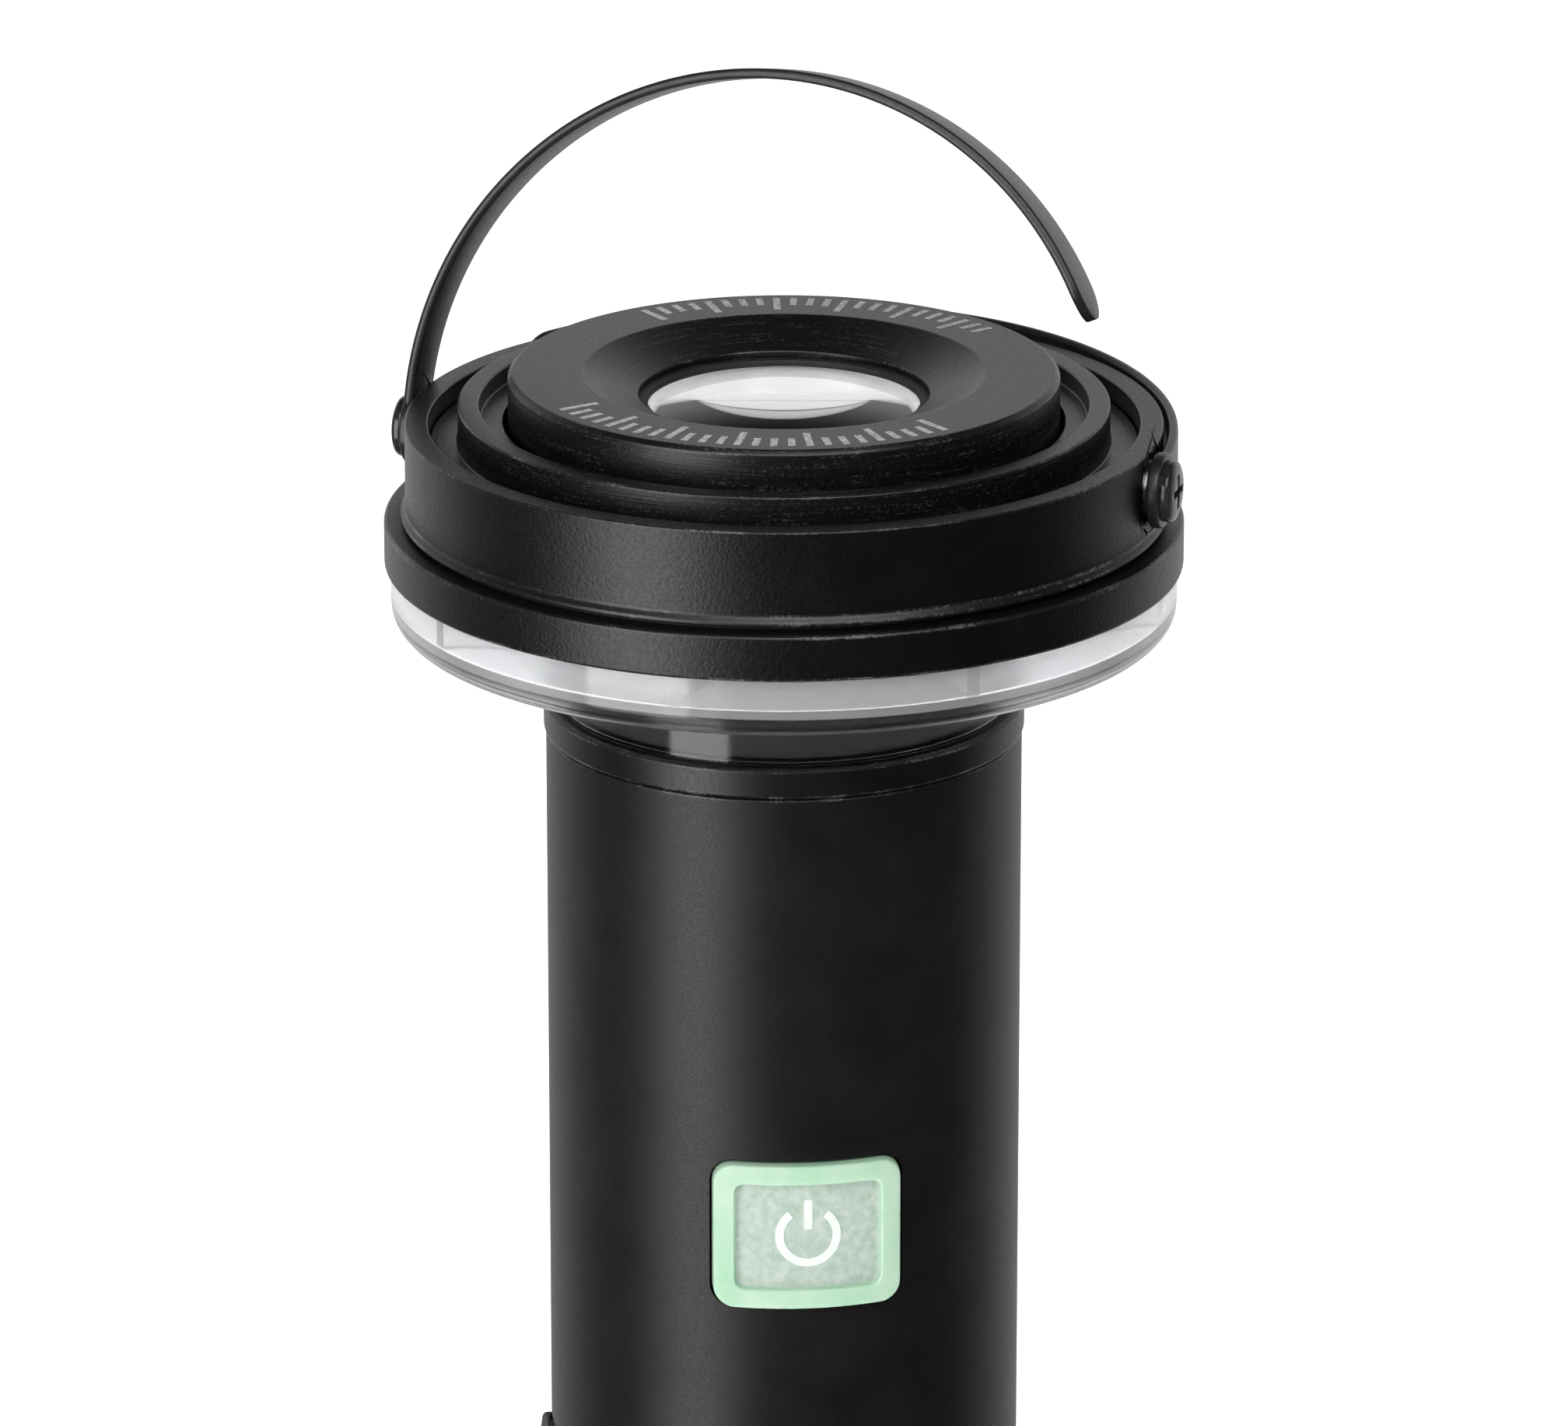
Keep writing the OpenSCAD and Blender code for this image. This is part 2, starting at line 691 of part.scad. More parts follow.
module button() {
  panel_r = button_r - panel_depth;
  color([0.72, 0.9, 0.78]) translate([0, 0, button_z]) difference() {
    union() {
      curved_plate(button_w, button_h, button_corner, flange_ri, button_r);
      curved_plate(button_w + 2 * flange_out, button_h + 2 * flange_out, button_corner, flange_ri, flange_ro);
      to_front(plunger_y, flange_ri + 0.5) circle(r = boss_r, $fn = small_fn);
    }
    curved_plate(button_w - 2 * button_rim, button_h - 2 * button_rim, 1.4, panel_r, button_r + 1);
    symbol_solid();
  }
}

module button_symbol() {
  color([0.97, 0.97, 0.97]) translate([0, 0, button_z]) symbol_solid();
}

module button_frame() {
  inner_w = button_w + 2 * flange_out + 1;
  inner_h = button_h + 2 * flange_out + 1;
  color([0.15, 0.15, 0.15]) translate([0, 0, button_z]) difference() {
    intersection() {
      disc(bore_r - fit, -inner_h / 2 - 2, inner_h / 2 + 2);
      to_front(switch_board_y - switch_board_t - 1.2, bore_r) square([inner_w + 3, inner_h + 4], center = true);
    }
    to_front(switch_board_y, bore_r + 1) square([inner_w, inner_h], center = true);
    to_front(switch_board_y - switch_board_t - over * 4, switch_board_y + over)
      square([inner_w - 2.6, inner_h - 2.6], center = true);
    to_front(switch_board_y - switch_board_t, switch_board_y + over)
      square([switch_board_w + 2 * fit, switch_board_h + 2 * fit], center = true);
  }
}

module switch_board() {
  color([0.1, 0.35, 0.2]) translate([0, 0, button_z])
    to_front(switch_board_y - switch_board_t, switch_board_y)
      square([switch_board_w, switch_board_h], center = true);
}

module tact_switch() {
  color([0.2, 0.2, 0.22]) translate([0, 0, button_z]) difference() {
    to_front(switch_board_y, switch_board_y + switch_h) square(switch_size, center = true);
    to_front(switch_board_y + 0.8, switch_board_y + switch_h + over)
      circle(r = plunger_r + running, $fn = small_fn * 2);
  }
}

module switch_plunger() {
  color([0.9, 0.9, 0.85]) translate([0, 0, button_z])
    to_front(switch_board_y + 0.8 + button_travel + 0.3, plunger_y) circle(r = plunger_r, $fn = small_fn * 2);
}

module button_leds() {
  color([0.6, 0.95, 0.7]) translate([0, 0, button_z]) for (sx = [-1, 1])
    translate([sx * 6, 0, 0]) to_front(switch_board_y, switch_board_y + 0.9) square([1.6, 3.2], center = true);
}

module header_pins() {
  pitch = 2;
  color([0.85, 0.7, 0.3]) for (i = [-1.5 : 1 : 1.5])
    translate([i * pitch, 0, button_z + switch_board_h / 2 - 2.4])
      to_front(board_t / 2, switch_board_y - switch_board_t) circle(r = 0.35, $fn = small_fn);
}

// ---- Boards ----

module control_board() {
  notch_h = socket_w + 4 * fit;
  color([0.1, 0.35, 0.2]) difference() {
    translate([board_x0, -board_t / 2, z_board]) cube([board_x1 - board_x0, board_t, z_board_top - z_board]);
    translate([board_x0 - 1, -board_t, socket_z - notch_h / 2])
      cube([socket_l - (socket_x + board_x0) + 1 + 2 * fit, 2 * board_t, notch_h]);
    for (sx = [-1, 1], z = post_z)
      translate([sx * post_x, 0, z]) rotate([90, 0, 0]) cylinder(r = 1.05, h = 9, center = true);
  }
}

module driver_chips() {
  color([0.08, 0.08, 0.08]) for (z = [z_board + 28, z_board + 38])
    translate([-4, -board_t / 2 - 1.5, z - 3]) cube([8, 1.5, 6]);
}

module inductor() {
  color([0.25, 0.25, 0.27]) translate([10.5, 0, socket_z + 1])
    to_front(board_t / 2, board_t / 2 + 4) circle(r = 4, $fn = small_fn * 2);
}

module capacitors() {
  color([0.75, 0.6, 0.4]) for (x = [1, 5])
    translate([x - 4, board_t / 2, socket_z - 4]) cube([2.5, 1.6, 3.2]);
}

module board_screws() {
  color([0.75, 0.75, 0.77]) for (sx = [-1, 1], z = post_z)
    translate([sx * post_x, -board_t / 2, z]) rotate([90, 0, 0]) cross_screw(1.8, 1.1, 0.9, board_t + 6);
}

module charge_socket() {
  mouth_w = 8.34;
  mouth_t = 2.56;
  tongue_t = 0.7;
  color([0.75, 0.75, 0.78]) translate([0, 0, socket_z]) difference() {
    to_port(socket_x - socket_l + 2 * fit, socket_x) rounded_rect(socket_t, socket_w, 1.2);
    difference() {
      to_port(socket_x - socket_l + 2, socket_x + over) rounded_rect(mouth_t, mouth_w, 1.1);
      to_port(socket_x - socket_l, socket_x - 0.6) square([tongue_t, mouth_w - 1.6], center = true);
    }
  }
}

module port_frame() {
  outer_w = recess_w + 2 * frame_wall;
  outer_h = recess_h + 2 * frame_wall;
  color([0.07, 0.07, 0.07]) translate([0, 0, socket_z]) difference() {
    intersection() {
      to_port(recess_x - frame_floor, tube_r) rounded_rect(outer_w, outer_h, 1.4);
      disc(tube_r - 2.5 * fit, -outer_h, outer_h);
    }
    to_port(recess_x, tube_r + 1) rounded_rect(recess_w, recess_h, 1);
    to_port(recess_x - frame_floor - 1, recess_x + over)
      rounded_rect(socket_t + 2 * fit, socket_w + 2 * fit, 1.3);
  }
}

// Bead along the line that the cover folds on
module fold_line(r) {
  translate([-cover_ro, 0, hinge_z - hinge_gap / 2]) rotate([90, 0, 0])
    cylinder(r = r, h = fold_l + 2 * (r - fold_r), center = true, $fn = small_fn);
}

module port_cover() {
  rib_w = recess_w - 4 * fit;
  rib_h = recess_h - 6 * fit;
  rib_in = 0.9;
  color([0.08, 0.08, 0.08]) union() {
    translate([0, 0, cover_top - port_h / 2]) rotate([0, 0, -90])
      curved_plate(port_w, port_h, 2.6, cover_ri, cover_ro);
    translate([0, 0, socket_z]) difference() {
      to_port(tube_r - 1.2, cover_ri + port_cover_t / 2) rounded_rect(rib_w, rib_h, 0.9);
      to_port(bore_r * 0.5, cover_ri + 0.01) rounded_rect(rib_w - 2 * rib_in, rib_h - 2 * rib_in, 0.6);
    }
    translate([0, 0, cover_top - 3.4]) rotate([0, 0, -90])
      curved_plate(5, 1.2, 0.5, cover_ri, cover_ro + 0.5);
    fold_line(fold_r);
  }
}

module port_anchor() {
  color([0.08, 0.08, 0.08]) difference() {
    translate([0, 0, hinge_z - hinge_gap - anchor_h / 2]) union() {
      rotate([0, 0, -90]) curved_plate(port_w - 4, anchor_h, 1.2, cover_ri, cover_ro);
      to_port(bore_r - fit, cover_ri + 0.3) circle(r = 1, $fn = small_fn);
    }
    fold_line(fold_r + running);
  }
}

module board_carrier() {
  spine_z0 = z_carrier + carrier_t / 2;
  spine_z1 = z_carrier_top + carrier_t / 2;
  color([0.85, 0.85, 0.82]) difference() {
    union() {
      disc(inner_r, z_carrier, z_carrier + carrier_t);
      disc(inner_r, z_carrier_top, z_carrier_top + carrier_t);
      intersection() {
        ring(inner_r, inner_r - 1.8, spine_z0, spine_z1);
        translate([-10.5, 0, spine_z0]) cube([21, inner_r + 1, spine_z1 - spine_z0]);
      }
      for (sx = [-1, 1], z = post_z)
        translate([sx * post_x, board_t / 2, z]) rotate([-90, 0, 0])
          cylinder(r = post_r, h = sqrt(pow(inner_r - 0.9, 2) - pow(post_x + post_r, 2)) - board_t / 2);
    }
    for (sx = [-1, 1], z = post_z)
      translate([sx * post_x, board_t / 2 - over, z]) rotate([-90, 0, 0]) cylinder(r = post_bore_r, h = 8);
    disc(8, z_carrier_top - over, z_carrier_top + carrier_t + over);
    for (sx = [-1, 1]) translate([sx * lead_x, lead_y, 0])
      disc(lead_r + 2 * fit, z_carrier - over, z_carrier + carrier_t + over);
  }
}

// Insulated lead with its core, straight up
module lead(x, y, z0, z1) {
  translate([x, y, 0]) disc(lead_r, z0, z1);
}

module red_leads() {
  color([0.7, 0.08, 0.06]) for (y = [-1, 1])
    lead(lead_x, y * lead_y, z_board_top - 8, z_well - 0.3);
}

module black_leads() {
  color([0.06, 0.06, 0.06]) for (y = [-1, 1])
    lead(-lead_x, y * lead_y, z_board_top - 8, z_well - 0.3);
}

// ---- Cells ----

module cell_top_plate() {
  color([0.85, 0.8, 0.6]) difference() {
    disc(inner_r, z_top_plate, z_top_plate + top_plate_t);
    for (sx = [-1, 1]) translate([sx * lead_x, lead_y, 0])
      disc(lead_r + 2 * fit, z_top_plate - over, z_top_plate + top_plate_t + over);
  }
}

module cells() {
  color([0.15, 0.3, 0.6]) for (sx = [-1, 1]) translate([sx * cell_x, 0, 0]) difference() {
    disc(cell_r, z_cell, z_cell_top);
    ring(cell_r - 1.6, cell_r - 2.4, z_cell_top - 0.8, z_cell_top + over);
  }
}

module cell_holders() {
  color([0.1, 0.1, 0.1]) for (z = [z_cell + 0.4, z_cell_top - holder_h - 0.4]) difference() {
    disc(bore_r - 2 * fit, z, z + holder_h);
    for (sx = [-1, 1]) translate([sx * cell_x, 0, 0]) disc(cell_r + fit, z - over, z + holder_h + over);
  }
}

module cell_tabs() {
  color([0.75, 0.75, 0.72]) union() {
    translate([-cell_x - 3, -3.5, z_cell - tab_t]) cube([2 * cell_x + 6, 7, tab_t]);
    translate([-cell_x - 3, -3.5, z_cell_top]) cube([2 * cell_x + 6, 7, tab_t]);
  }
}

module cell_leads() {
  color([0.6, 0.1, 0.1]) for (sx = [-1, 1])
    lead(sx * lead_x, lead_y, z_cell_top + tab_t, z_board + 4);
}

module cell_board() {
  color([0.1, 0.35, 0.2]) disc(inner_r, z_cell_board, z_cell - tab_t);
}

module end_foam() {
  color([0.3, 0.3, 0.3]) disc(inner_r - 0.6, z_cap_floor, z_cell_board);
}

// ---- Tail ----

module tail_cap() {
  bore = tube_r + fit;
  color([0.1, 0.1, 0.11]) difference() {
    rotate_extrude() polygon([
      [0, z_cap], [cap_r - cap_round, z_cap], [cap_r, z_cap + cap_round],
      [cap_r, cap_top - 0.8], [cap_r - 0.8, cap_top], [bore, cap_top],
      [bore, z_cap_floor], [0, z_cap_floor]
    ]);
    disc(pad_r + fit, z_cap - over, pad_t);
    ring(magnet_ro + fit, magnet_ri - fit, pad_t - over, pad_t + magnet_t + fit);
    ring(bore + 1.15, bore - 0.5, cap_top - 4, cap_top - 2.6);
    around(flute_count, cap_r + flute_r * 0.6) disc(flute_r, z_cap + 2.6, cap_top - 4);
  }
}

module tail_seal() {
  color([0.04, 0.04, 0.04]) rotate_extrude()
    translate([tube_r + fit / 2 + 0.6, cap_top - 3.3]) circle(r = 0.6, $fn = small_fn);
}

module base_magnet() {
  color([0.7, 0.7, 0.72]) ring(magnet_ro, magnet_ri, pad_t, pad_t + magnet_t);
}

module base_pad() {
  color([0.07, 0.07, 0.07]) difference() {
    disc(pad_r, 0, pad_t);
    for (r = [pad_r - 3, pad_r - 6]) ring(r, r - 1, -over, 0.4);
  }
}

bezel();
lens_gasket();
lens();
reflector();
spot_led_board();
spot_led();
led_screws();
heat_sink();
head_housing();
pivot_screws();
pivot_washers();
hook_left();
hook_right();
housing_gasket();
lower_ring();
downlight_board();
white_leds();
amber_leds();
downlight_screws();
light_cover();
neck_core();
core_screws();
neck_collar();
collar_seal();
red_leads();
black_leads();
body_tube();
button();
button_symbol();
button_frame();
switch_board();
tact_switch();
switch_plunger();
button_leds();
header_pins();
control_board();
driver_chips();
inductor();
capacitors();
board_screws();
charge_socket();
port_frame();
port_cover();
port_anchor();
board_carrier();
cell_top_plate();
cells();
cell_holders();
cell_tabs();
cell_leads();
cell_board();
end_foam();
tail_cap();
tail_seal();
base_magnet();
base_pad();
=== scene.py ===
import json
from math import asin, cos, pi, radians, sin, sqrt

import bpy
from mathutils import Matrix, Vector


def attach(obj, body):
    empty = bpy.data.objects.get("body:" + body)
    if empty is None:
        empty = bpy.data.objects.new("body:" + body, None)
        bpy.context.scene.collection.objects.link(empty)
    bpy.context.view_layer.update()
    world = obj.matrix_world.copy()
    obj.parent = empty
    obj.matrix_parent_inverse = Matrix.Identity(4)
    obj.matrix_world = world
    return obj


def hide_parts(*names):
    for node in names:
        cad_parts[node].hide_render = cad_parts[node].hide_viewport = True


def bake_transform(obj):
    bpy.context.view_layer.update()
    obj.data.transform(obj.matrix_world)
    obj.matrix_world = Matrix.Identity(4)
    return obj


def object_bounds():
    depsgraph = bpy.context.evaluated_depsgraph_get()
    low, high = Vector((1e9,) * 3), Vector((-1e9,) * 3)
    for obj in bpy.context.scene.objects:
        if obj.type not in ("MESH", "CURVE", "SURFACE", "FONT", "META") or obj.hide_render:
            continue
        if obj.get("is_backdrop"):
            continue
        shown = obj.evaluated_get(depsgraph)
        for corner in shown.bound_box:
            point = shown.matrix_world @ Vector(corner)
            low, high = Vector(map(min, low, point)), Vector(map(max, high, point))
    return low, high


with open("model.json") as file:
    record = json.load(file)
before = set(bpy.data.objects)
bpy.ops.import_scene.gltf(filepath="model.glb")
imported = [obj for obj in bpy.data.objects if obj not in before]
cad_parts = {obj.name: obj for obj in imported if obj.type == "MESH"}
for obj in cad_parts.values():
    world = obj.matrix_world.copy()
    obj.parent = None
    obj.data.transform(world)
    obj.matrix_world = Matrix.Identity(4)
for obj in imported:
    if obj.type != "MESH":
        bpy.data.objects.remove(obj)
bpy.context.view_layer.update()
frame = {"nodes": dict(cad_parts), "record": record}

# ---- Camera ----
# A long lens looks down at the head, from a little to the left of the button.
camera_turn = radians(5.75)
camera_pitch = radians(18.594)
camera_back, camera_height = 0.80685, 0.42992
bpy.ops.object.camera_add(
    location=(-sin(camera_turn) * camera_back, -cos(camera_turn) * camera_back, camera_height),
    rotation=(pi / 2 - camera_pitch, 0, -camera_turn),
)
camera = bpy.context.object
camera.data.lens = 221.5
camera.data.sensor_width = 36
camera.data.clip_start, camera.data.clip_end = 0.05, 50
bpy.context.scene.camera = camera
bpy.context.scene.view_settings.view_transform = "Standard"

# ---- Stage and lights ----
# A white floor, a white surround behind the lantern, a tall soft light on the left and a wide one
# overhead. The right-hand side stays dark, as a flag beside a black product leaves it.
bpy.ops.mesh.primitive_plane_add(size=16)
floor = bpy.context.object
floor.name = "floor"
floor.visible_glossy = False
floor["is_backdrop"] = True
floor_paint = bpy.data.materials.new("floor_paint")
floor_paint.use_nodes = True
floor_shader = floor_paint.node_tree.nodes["Principled BSDF"]
floor_shader.inputs["Base Color"].default_value = (0.9, 0.9, 0.9, 1)
floor_shader.inputs["Roughness"].default_value = 0.9
floor_shader.inputs["Emission Color"].default_value = (1, 1, 1, 1)
floor_shader.inputs["Emission Strength"].default_value = 0.95
floor.data.materials.append(floor_paint)

world = bpy.data.worlds.new("studio")
bpy.context.scene.world = world
world.use_nodes = True
tree = world.node_tree
tree.nodes.clear()
place = tree.nodes.new("ShaderNodeTexCoord")
facing = tree.nodes.new("ShaderNodeVectorMath")
facing.operation = "DOT_PRODUCT"
facing.inputs[1].default_value = (sin(camera_turn), cos(camera_turn), 0)
tree.links.new(place.outputs["Generated"], facing.inputs[0])
behind = tree.nodes.new("ShaderNodeMapRange")
behind.interpolation_type = "SMOOTHSTEP"
behind.inputs["From Min"].default_value = 0.05
behind.inputs["From Max"].default_value = 0.8
tree.links.new(facing.outputs["Value"], behind.inputs["Value"])
split = tree.nodes.new("ShaderNodeSeparateXYZ")
tree.links.new(place.outputs["Generated"], split.inputs[0])
low = tree.nodes.new("ShaderNodeMapRange")
low.interpolation_type = "SMOOTHSTEP"
low.inputs["From Min"].default_value = 0.75
low.inputs["From Max"].default_value = 0.35
tree.links.new(split.outputs["Z"], low.inputs["Value"])
both = tree.nodes.new("ShaderNodeMath")
both.operation = "MULTIPLY"
tree.links.new(behind.outputs["Result"], both.inputs[0])
tree.links.new(low.outputs["Result"], both.inputs[1])
level = tree.nodes.new("ShaderNodeMath")
level.operation = "MULTIPLY_ADD"
level.inputs[1].default_value = 0.98
level.inputs[2].default_value = 0.02
tree.links.new(both.outputs[0], level.inputs[0])
seen = tree.nodes.new("ShaderNodeLightPath")
pick = tree.nodes.new("ShaderNodeMix")
pick.inputs["B"].default_value = 1.0
tree.links.new(seen.outputs["Is Camera Ray"], pick.inputs["Factor"])
tree.links.new(level.outputs[0], pick.inputs["A"])
glow = tree.nodes.new("ShaderNodeBackground")
tree.links.new(pick.outputs["Result"], glow.inputs["Strength"])
sky = tree.nodes.new("ShaderNodeOutputWorld")
tree.links.new(glow.outputs["Background"], sky.inputs["Surface"])


def soft_light(name, width, height, power, at, aim):
    """A rectangular softbox at a place, turned towards a point."""
    turn = (Vector(aim) - Vector(at)).to_track_quat("-Z", "Y").to_euler()
    bpy.ops.object.light_add(type="AREA", location=at, rotation=turn)
    light = bpy.context.object
    light.name = name
    light.data.shape = "RECTANGLE"
    light.data.size, light.data.size_y = width, height
    light.data.energy = power


soft_light("left_light", 0.56, 1.3, 11, (-0.76, -0.67, 0.16), (0, 0, 0.13))
soft_light("top_light", 1.6, 1.2, 22, (0.1, -1.2, 1.5), (0, 0.1, 0.1))

# ---- Body tube ----
# A turned and bored aluminium tube with a fine matte black coat. The button and the charging port
# sit in openings milled through its wall. Rings above and below each opening keep its faces short.
MM = 0.001
tube_r, bore_r = 21.0, 19.0
tube_low, tube_high = 5.2, 157.57
button_z, button_w, button_h, button_corner = 117.3, 16.5, 13.4, 1.8
socket_z = 84.5
SIDES = 256


def clear_selection():
    if bpy.context.object and bpy.context.object.mode != "OBJECT":
        bpy.ops.object.mode_set(mode="OBJECT")
    bpy.ops.object.select_all(action="DESELECT")


def select_only(piece):
    clear_selection()
    piece.select_set(True)
    bpy.context.view_layer.objects.active = piece


def box(name, width, depth, height):
    """A plain block in mm, centred on the origin."""
    clear_selection()
    bpy.ops.mesh.primitive_cube_add(size=1)
    piece = bpy.context.object
    piece.name = name
    bpy.ops.object.mode_set(mode="EDIT")
    bpy.ops.transform.resize(value=(width * MM, depth * MM, height * MM))
    bpy.ops.mesh.select_all(action="DESELECT")
    bpy.ops.object.mode_set(mode="OBJECT")
    return piece


def joined(pieces, name):
    """Joins several pieces into one."""
    clear_selection()
    for piece in pieces:
        piece.select_set(True)
    bpy.context.view_layer.objects.active = pieces[0]
    bpy.ops.object.join()
    bpy.context.object.name = name
    return bpy.context.object


def facing_out(piece):
    """Turns all the piece's faces outwards."""
    select_only(piece)
    bpy.ops.object.mode_set(mode="EDIT")
    bpy.ops.mesh.select_all(action="SELECT")
    bpy.ops.mesh.normals_make_consistent(inside=False)
    bpy.ops.object.mode_set(mode="OBJECT")
    return piece


def closed(piece, pole):
    """Closes a piece's open end, with a fan of faces to a pole or with one flat face."""
    select_only(piece)
    bpy.ops.object.mode_set(mode="EDIT")
    bpy.ops.mesh.select_all(action="DESELECT")
    bpy.ops.mesh.select_non_manifold(extend=False)
    if pole:
        bpy.ops.mesh.extrude_edges_indiv()
        bpy.ops.mesh.merge(type="CENTER")
    else:
        bpy.ops.mesh.edge_face_add()
    bpy.ops.object.mode_set(mode="OBJECT")
    return facing_out(piece)


def turned(name, profile, sides=SIDES):
    """Turns a profile of (radius, height) pairs in mm round the axis. A closed ring is bridged; a
    radius of 0 ends in a pole."""
    clear_selection()
    radius, height = profile[0]
    bpy.ops.mesh.primitive_circle_add(vertices=sides, radius=radius * MM, fill_type="NOTHING")
    piece = bpy.context.object
    piece.name = name
    bpy.ops.object.mode_set(mode="EDIT")
    bpy.ops.transform.translate(value=(0, 0, height * MM))
    for next_radius, next_height in profile[1:]:
        bpy.ops.mesh.extrude_edges_indiv()
        bpy.ops.transform.translate(value=(0, 0, (next_height - height) * MM))
        if next_radius == 0:
            bpy.ops.mesh.merge(type="CENTER")
            break
        ratio = next_radius / radius
        bpy.ops.transform.resize(value=(ratio, ratio, 1), center_override=(0, 0, next_height * MM))
        radius, height = next_radius, next_height
    bpy.ops.mesh.select_all(action="DESELECT")
    bpy.ops.mesh.select_mode(type="EDGE")
    bpy.ops.mesh.select_non_manifold(extend=False)
    if profile[-1][0] > 0:
        bpy.ops.mesh.bridge_edge_loops()
    bpy.ops.mesh.select_all(action="SELECT")
    bpy.ops.mesh.normals_make_consistent(inside=False)
    bpy.ops.object.mode_set(mode="OBJECT")
    return piece


def softened(piece, width, angle=30, segments=3, worn=False):
    """Rounds the piece's sharp edges by a width in mm and shades it. Worn edges take the second
    material, whose light specks are partly real wear and partly a painted glint."""
    select_only(piece)
    piece.data.materials.clear()
    bevel = piece.modifiers.new("edges", "BEVEL")
    if worn:
        piece.data.materials.append(None)
        piece.data.materials.append(None)
        bevel.material = 1
    bevel.use_clamp_overlap = False
    bevel.width = width * MM
    bevel.segments = segments
    bevel.limit_method = "ANGLE"
    bevel.angle_limit = radians(angle)
    bevel.miter_outer = "MITER_ARC"
    bpy.ops.object.modifier_apply(modifier=bevel.name)
    bpy.ops.object.shade_smooth_by_angle(angle=radians(40))
    even = piece.modifiers.new("normals", "WEIGHTED_NORMAL")
    even.keep_sharp = True
    bpy.ops.object.modifier_apply(modifier=even.name)
    return piece


def cut(piece, tool, how="DIFFERENCE"):
    """Cuts a tool's shape out of a piece, or joins or crosses the two, and removes the tool."""
    select_only(piece)
    gap = piece.modifiers.new("cut", "BOOLEAN")
    gap.operation = how
    gap.object = tool
    gap.solver = "EXACT"
    bpy.ops.object.modifier_apply(modifier=gap.name)
    bpy.data.objects.remove(tool)
    bpy.ops.object.mode_set(mode="EDIT")
    bpy.ops.mesh.select_all(action="SELECT")
    bpy.ops.mesh.remove_doubles(threshold=0.012 * MM)
    bpy.ops.mesh.normals_make_consistent(inside=False)
    bpy.ops.object.mode_set(mode="OBJECT")
    return piece


def slab(name, width, depth, height, corner, steps=6):
    """A block centred on the origin, width along X, depth along Y and height along Z, with its four
    corners rounded as seen from the front."""
    piece = box(name, width, depth, height)
    for edge in piece.data.edges:
        a, b = (piece.data.vertices[i].co for i in edge.vertices)
        edge.select = abs(a.x - b.x) < 1e-7 and abs(a.z - b.z) < 1e-7
    bpy.ops.object.mode_set(mode="EDIT")
    bpy.ops.mesh.select_mode(type="EDGE")
    bpy.ops.mesh.bevel(offset=corner * MM, segments=steps, affect="EDGES")
    bpy.ops.object.mode_set(mode="OBJECT")
    return piece


def curved_plate(name, width, height, corner, inner, outer):
    """A plate that follows the tube at the front, between two radii, its corners rounded as seen
    from the front."""
    block = slab(name, width, 12, height, corner)
    moved(block, Matrix.Translation((0, -(outer - 5) * MM, 0)))
    band = turned(name + "_band", [
        (inner, -height), (outer, -height), (outer, height), (inner, height)])
    return cut(block, band, "INTERSECT")


def moulded(piece, voxel, rounds):
    """Remeshes a soft moulded piece evenly and smooths its edges round."""
    select_only(piece)
    even = piece.modifiers.new("even", "REMESH")
    even.mode = "VOXEL"
    even.voxel_size = voxel * MM
    bpy.ops.object.modifier_apply(modifier=even.name)
    soft = piece.modifiers.new("soft", "SMOOTH")
    soft.factor = 0.5
    soft.iterations = rounds
    bpy.ops.object.modifier_apply(modifier=soft.name)
    bpy.ops.object.shade_smooth()
    return piece


def moved(piece, matrix):
    """Puts a piece in its place and leaves its object at the origin."""
    select_only(piece)
    piece.matrix_world = matrix @ piece.matrix_world
    bpy.ops.object.transform_apply(location=True, rotation=True, scale=True)
    return piece


def facing_port(matrix):
    """The same place, on the charging port's side instead of the front."""
    return Matrix.Rotation(-pi / 2, 4, "Z") @ matrix


def new_material(name):
    material = bpy.data.materials.new(name)
    material.use_nodes = True
    return material, material.node_tree, material.node_tree.nodes["Principled BSDF"]


def noise(tree, scale, detail=2.0, roughness=0.5, stretch=(1, 1, 1)):
    """Noise on the piece's own coordinates, in metres."""
    place = tree.nodes.new("ShaderNodeTexCoord")
    mapping = tree.nodes.new("ShaderNodeMapping")
    mapping.inputs["Scale"].default_value = stretch
    grain = tree.nodes.new("ShaderNodeTexNoise")
    grain.inputs["Scale"].default_value = scale
    grain.inputs["Detail"].default_value = detail
    grain.inputs["Roughness"].default_value = roughness
    tree.links.new(place.outputs["Object"], mapping.inputs["Vector"])
    tree.links.new(mapping.outputs["Vector"], grain.inputs["Vector"])
    return grain.outputs["Fac"]


def between(tree, value, low, high, start=0.3, end=0.7):
    """Maps a noise value to the range between two numbers."""
    ramp = tree.nodes.new("ShaderNodeMapRange")
    ramp.inputs["From Min"].default_value = start
    ramp.inputs["From Max"].default_value = end
    ramp.inputs["To Min"].default_value = low
    ramp.inputs["To Max"].default_value = high
    tree.links.new(value, ramp.inputs["Value"])
    return ramp.outputs["Result"]


def blend_colours(tree, value, first, second, start=0.3, end=0.7):
    """Maps a noise value to a blend of two colours."""
    ramp = tree.nodes.new("ShaderNodeValToRGB")
    ramp.color_ramp.elements[0].position = start
    ramp.color_ramp.elements[0].color = (*first, 1)
    ramp.color_ramp.elements[1].position = end
    ramp.color_ramp.elements[1].color = (*second, 1)
    tree.links.new(value, ramp.inputs["Fac"])
    return ramp.outputs["Color"]


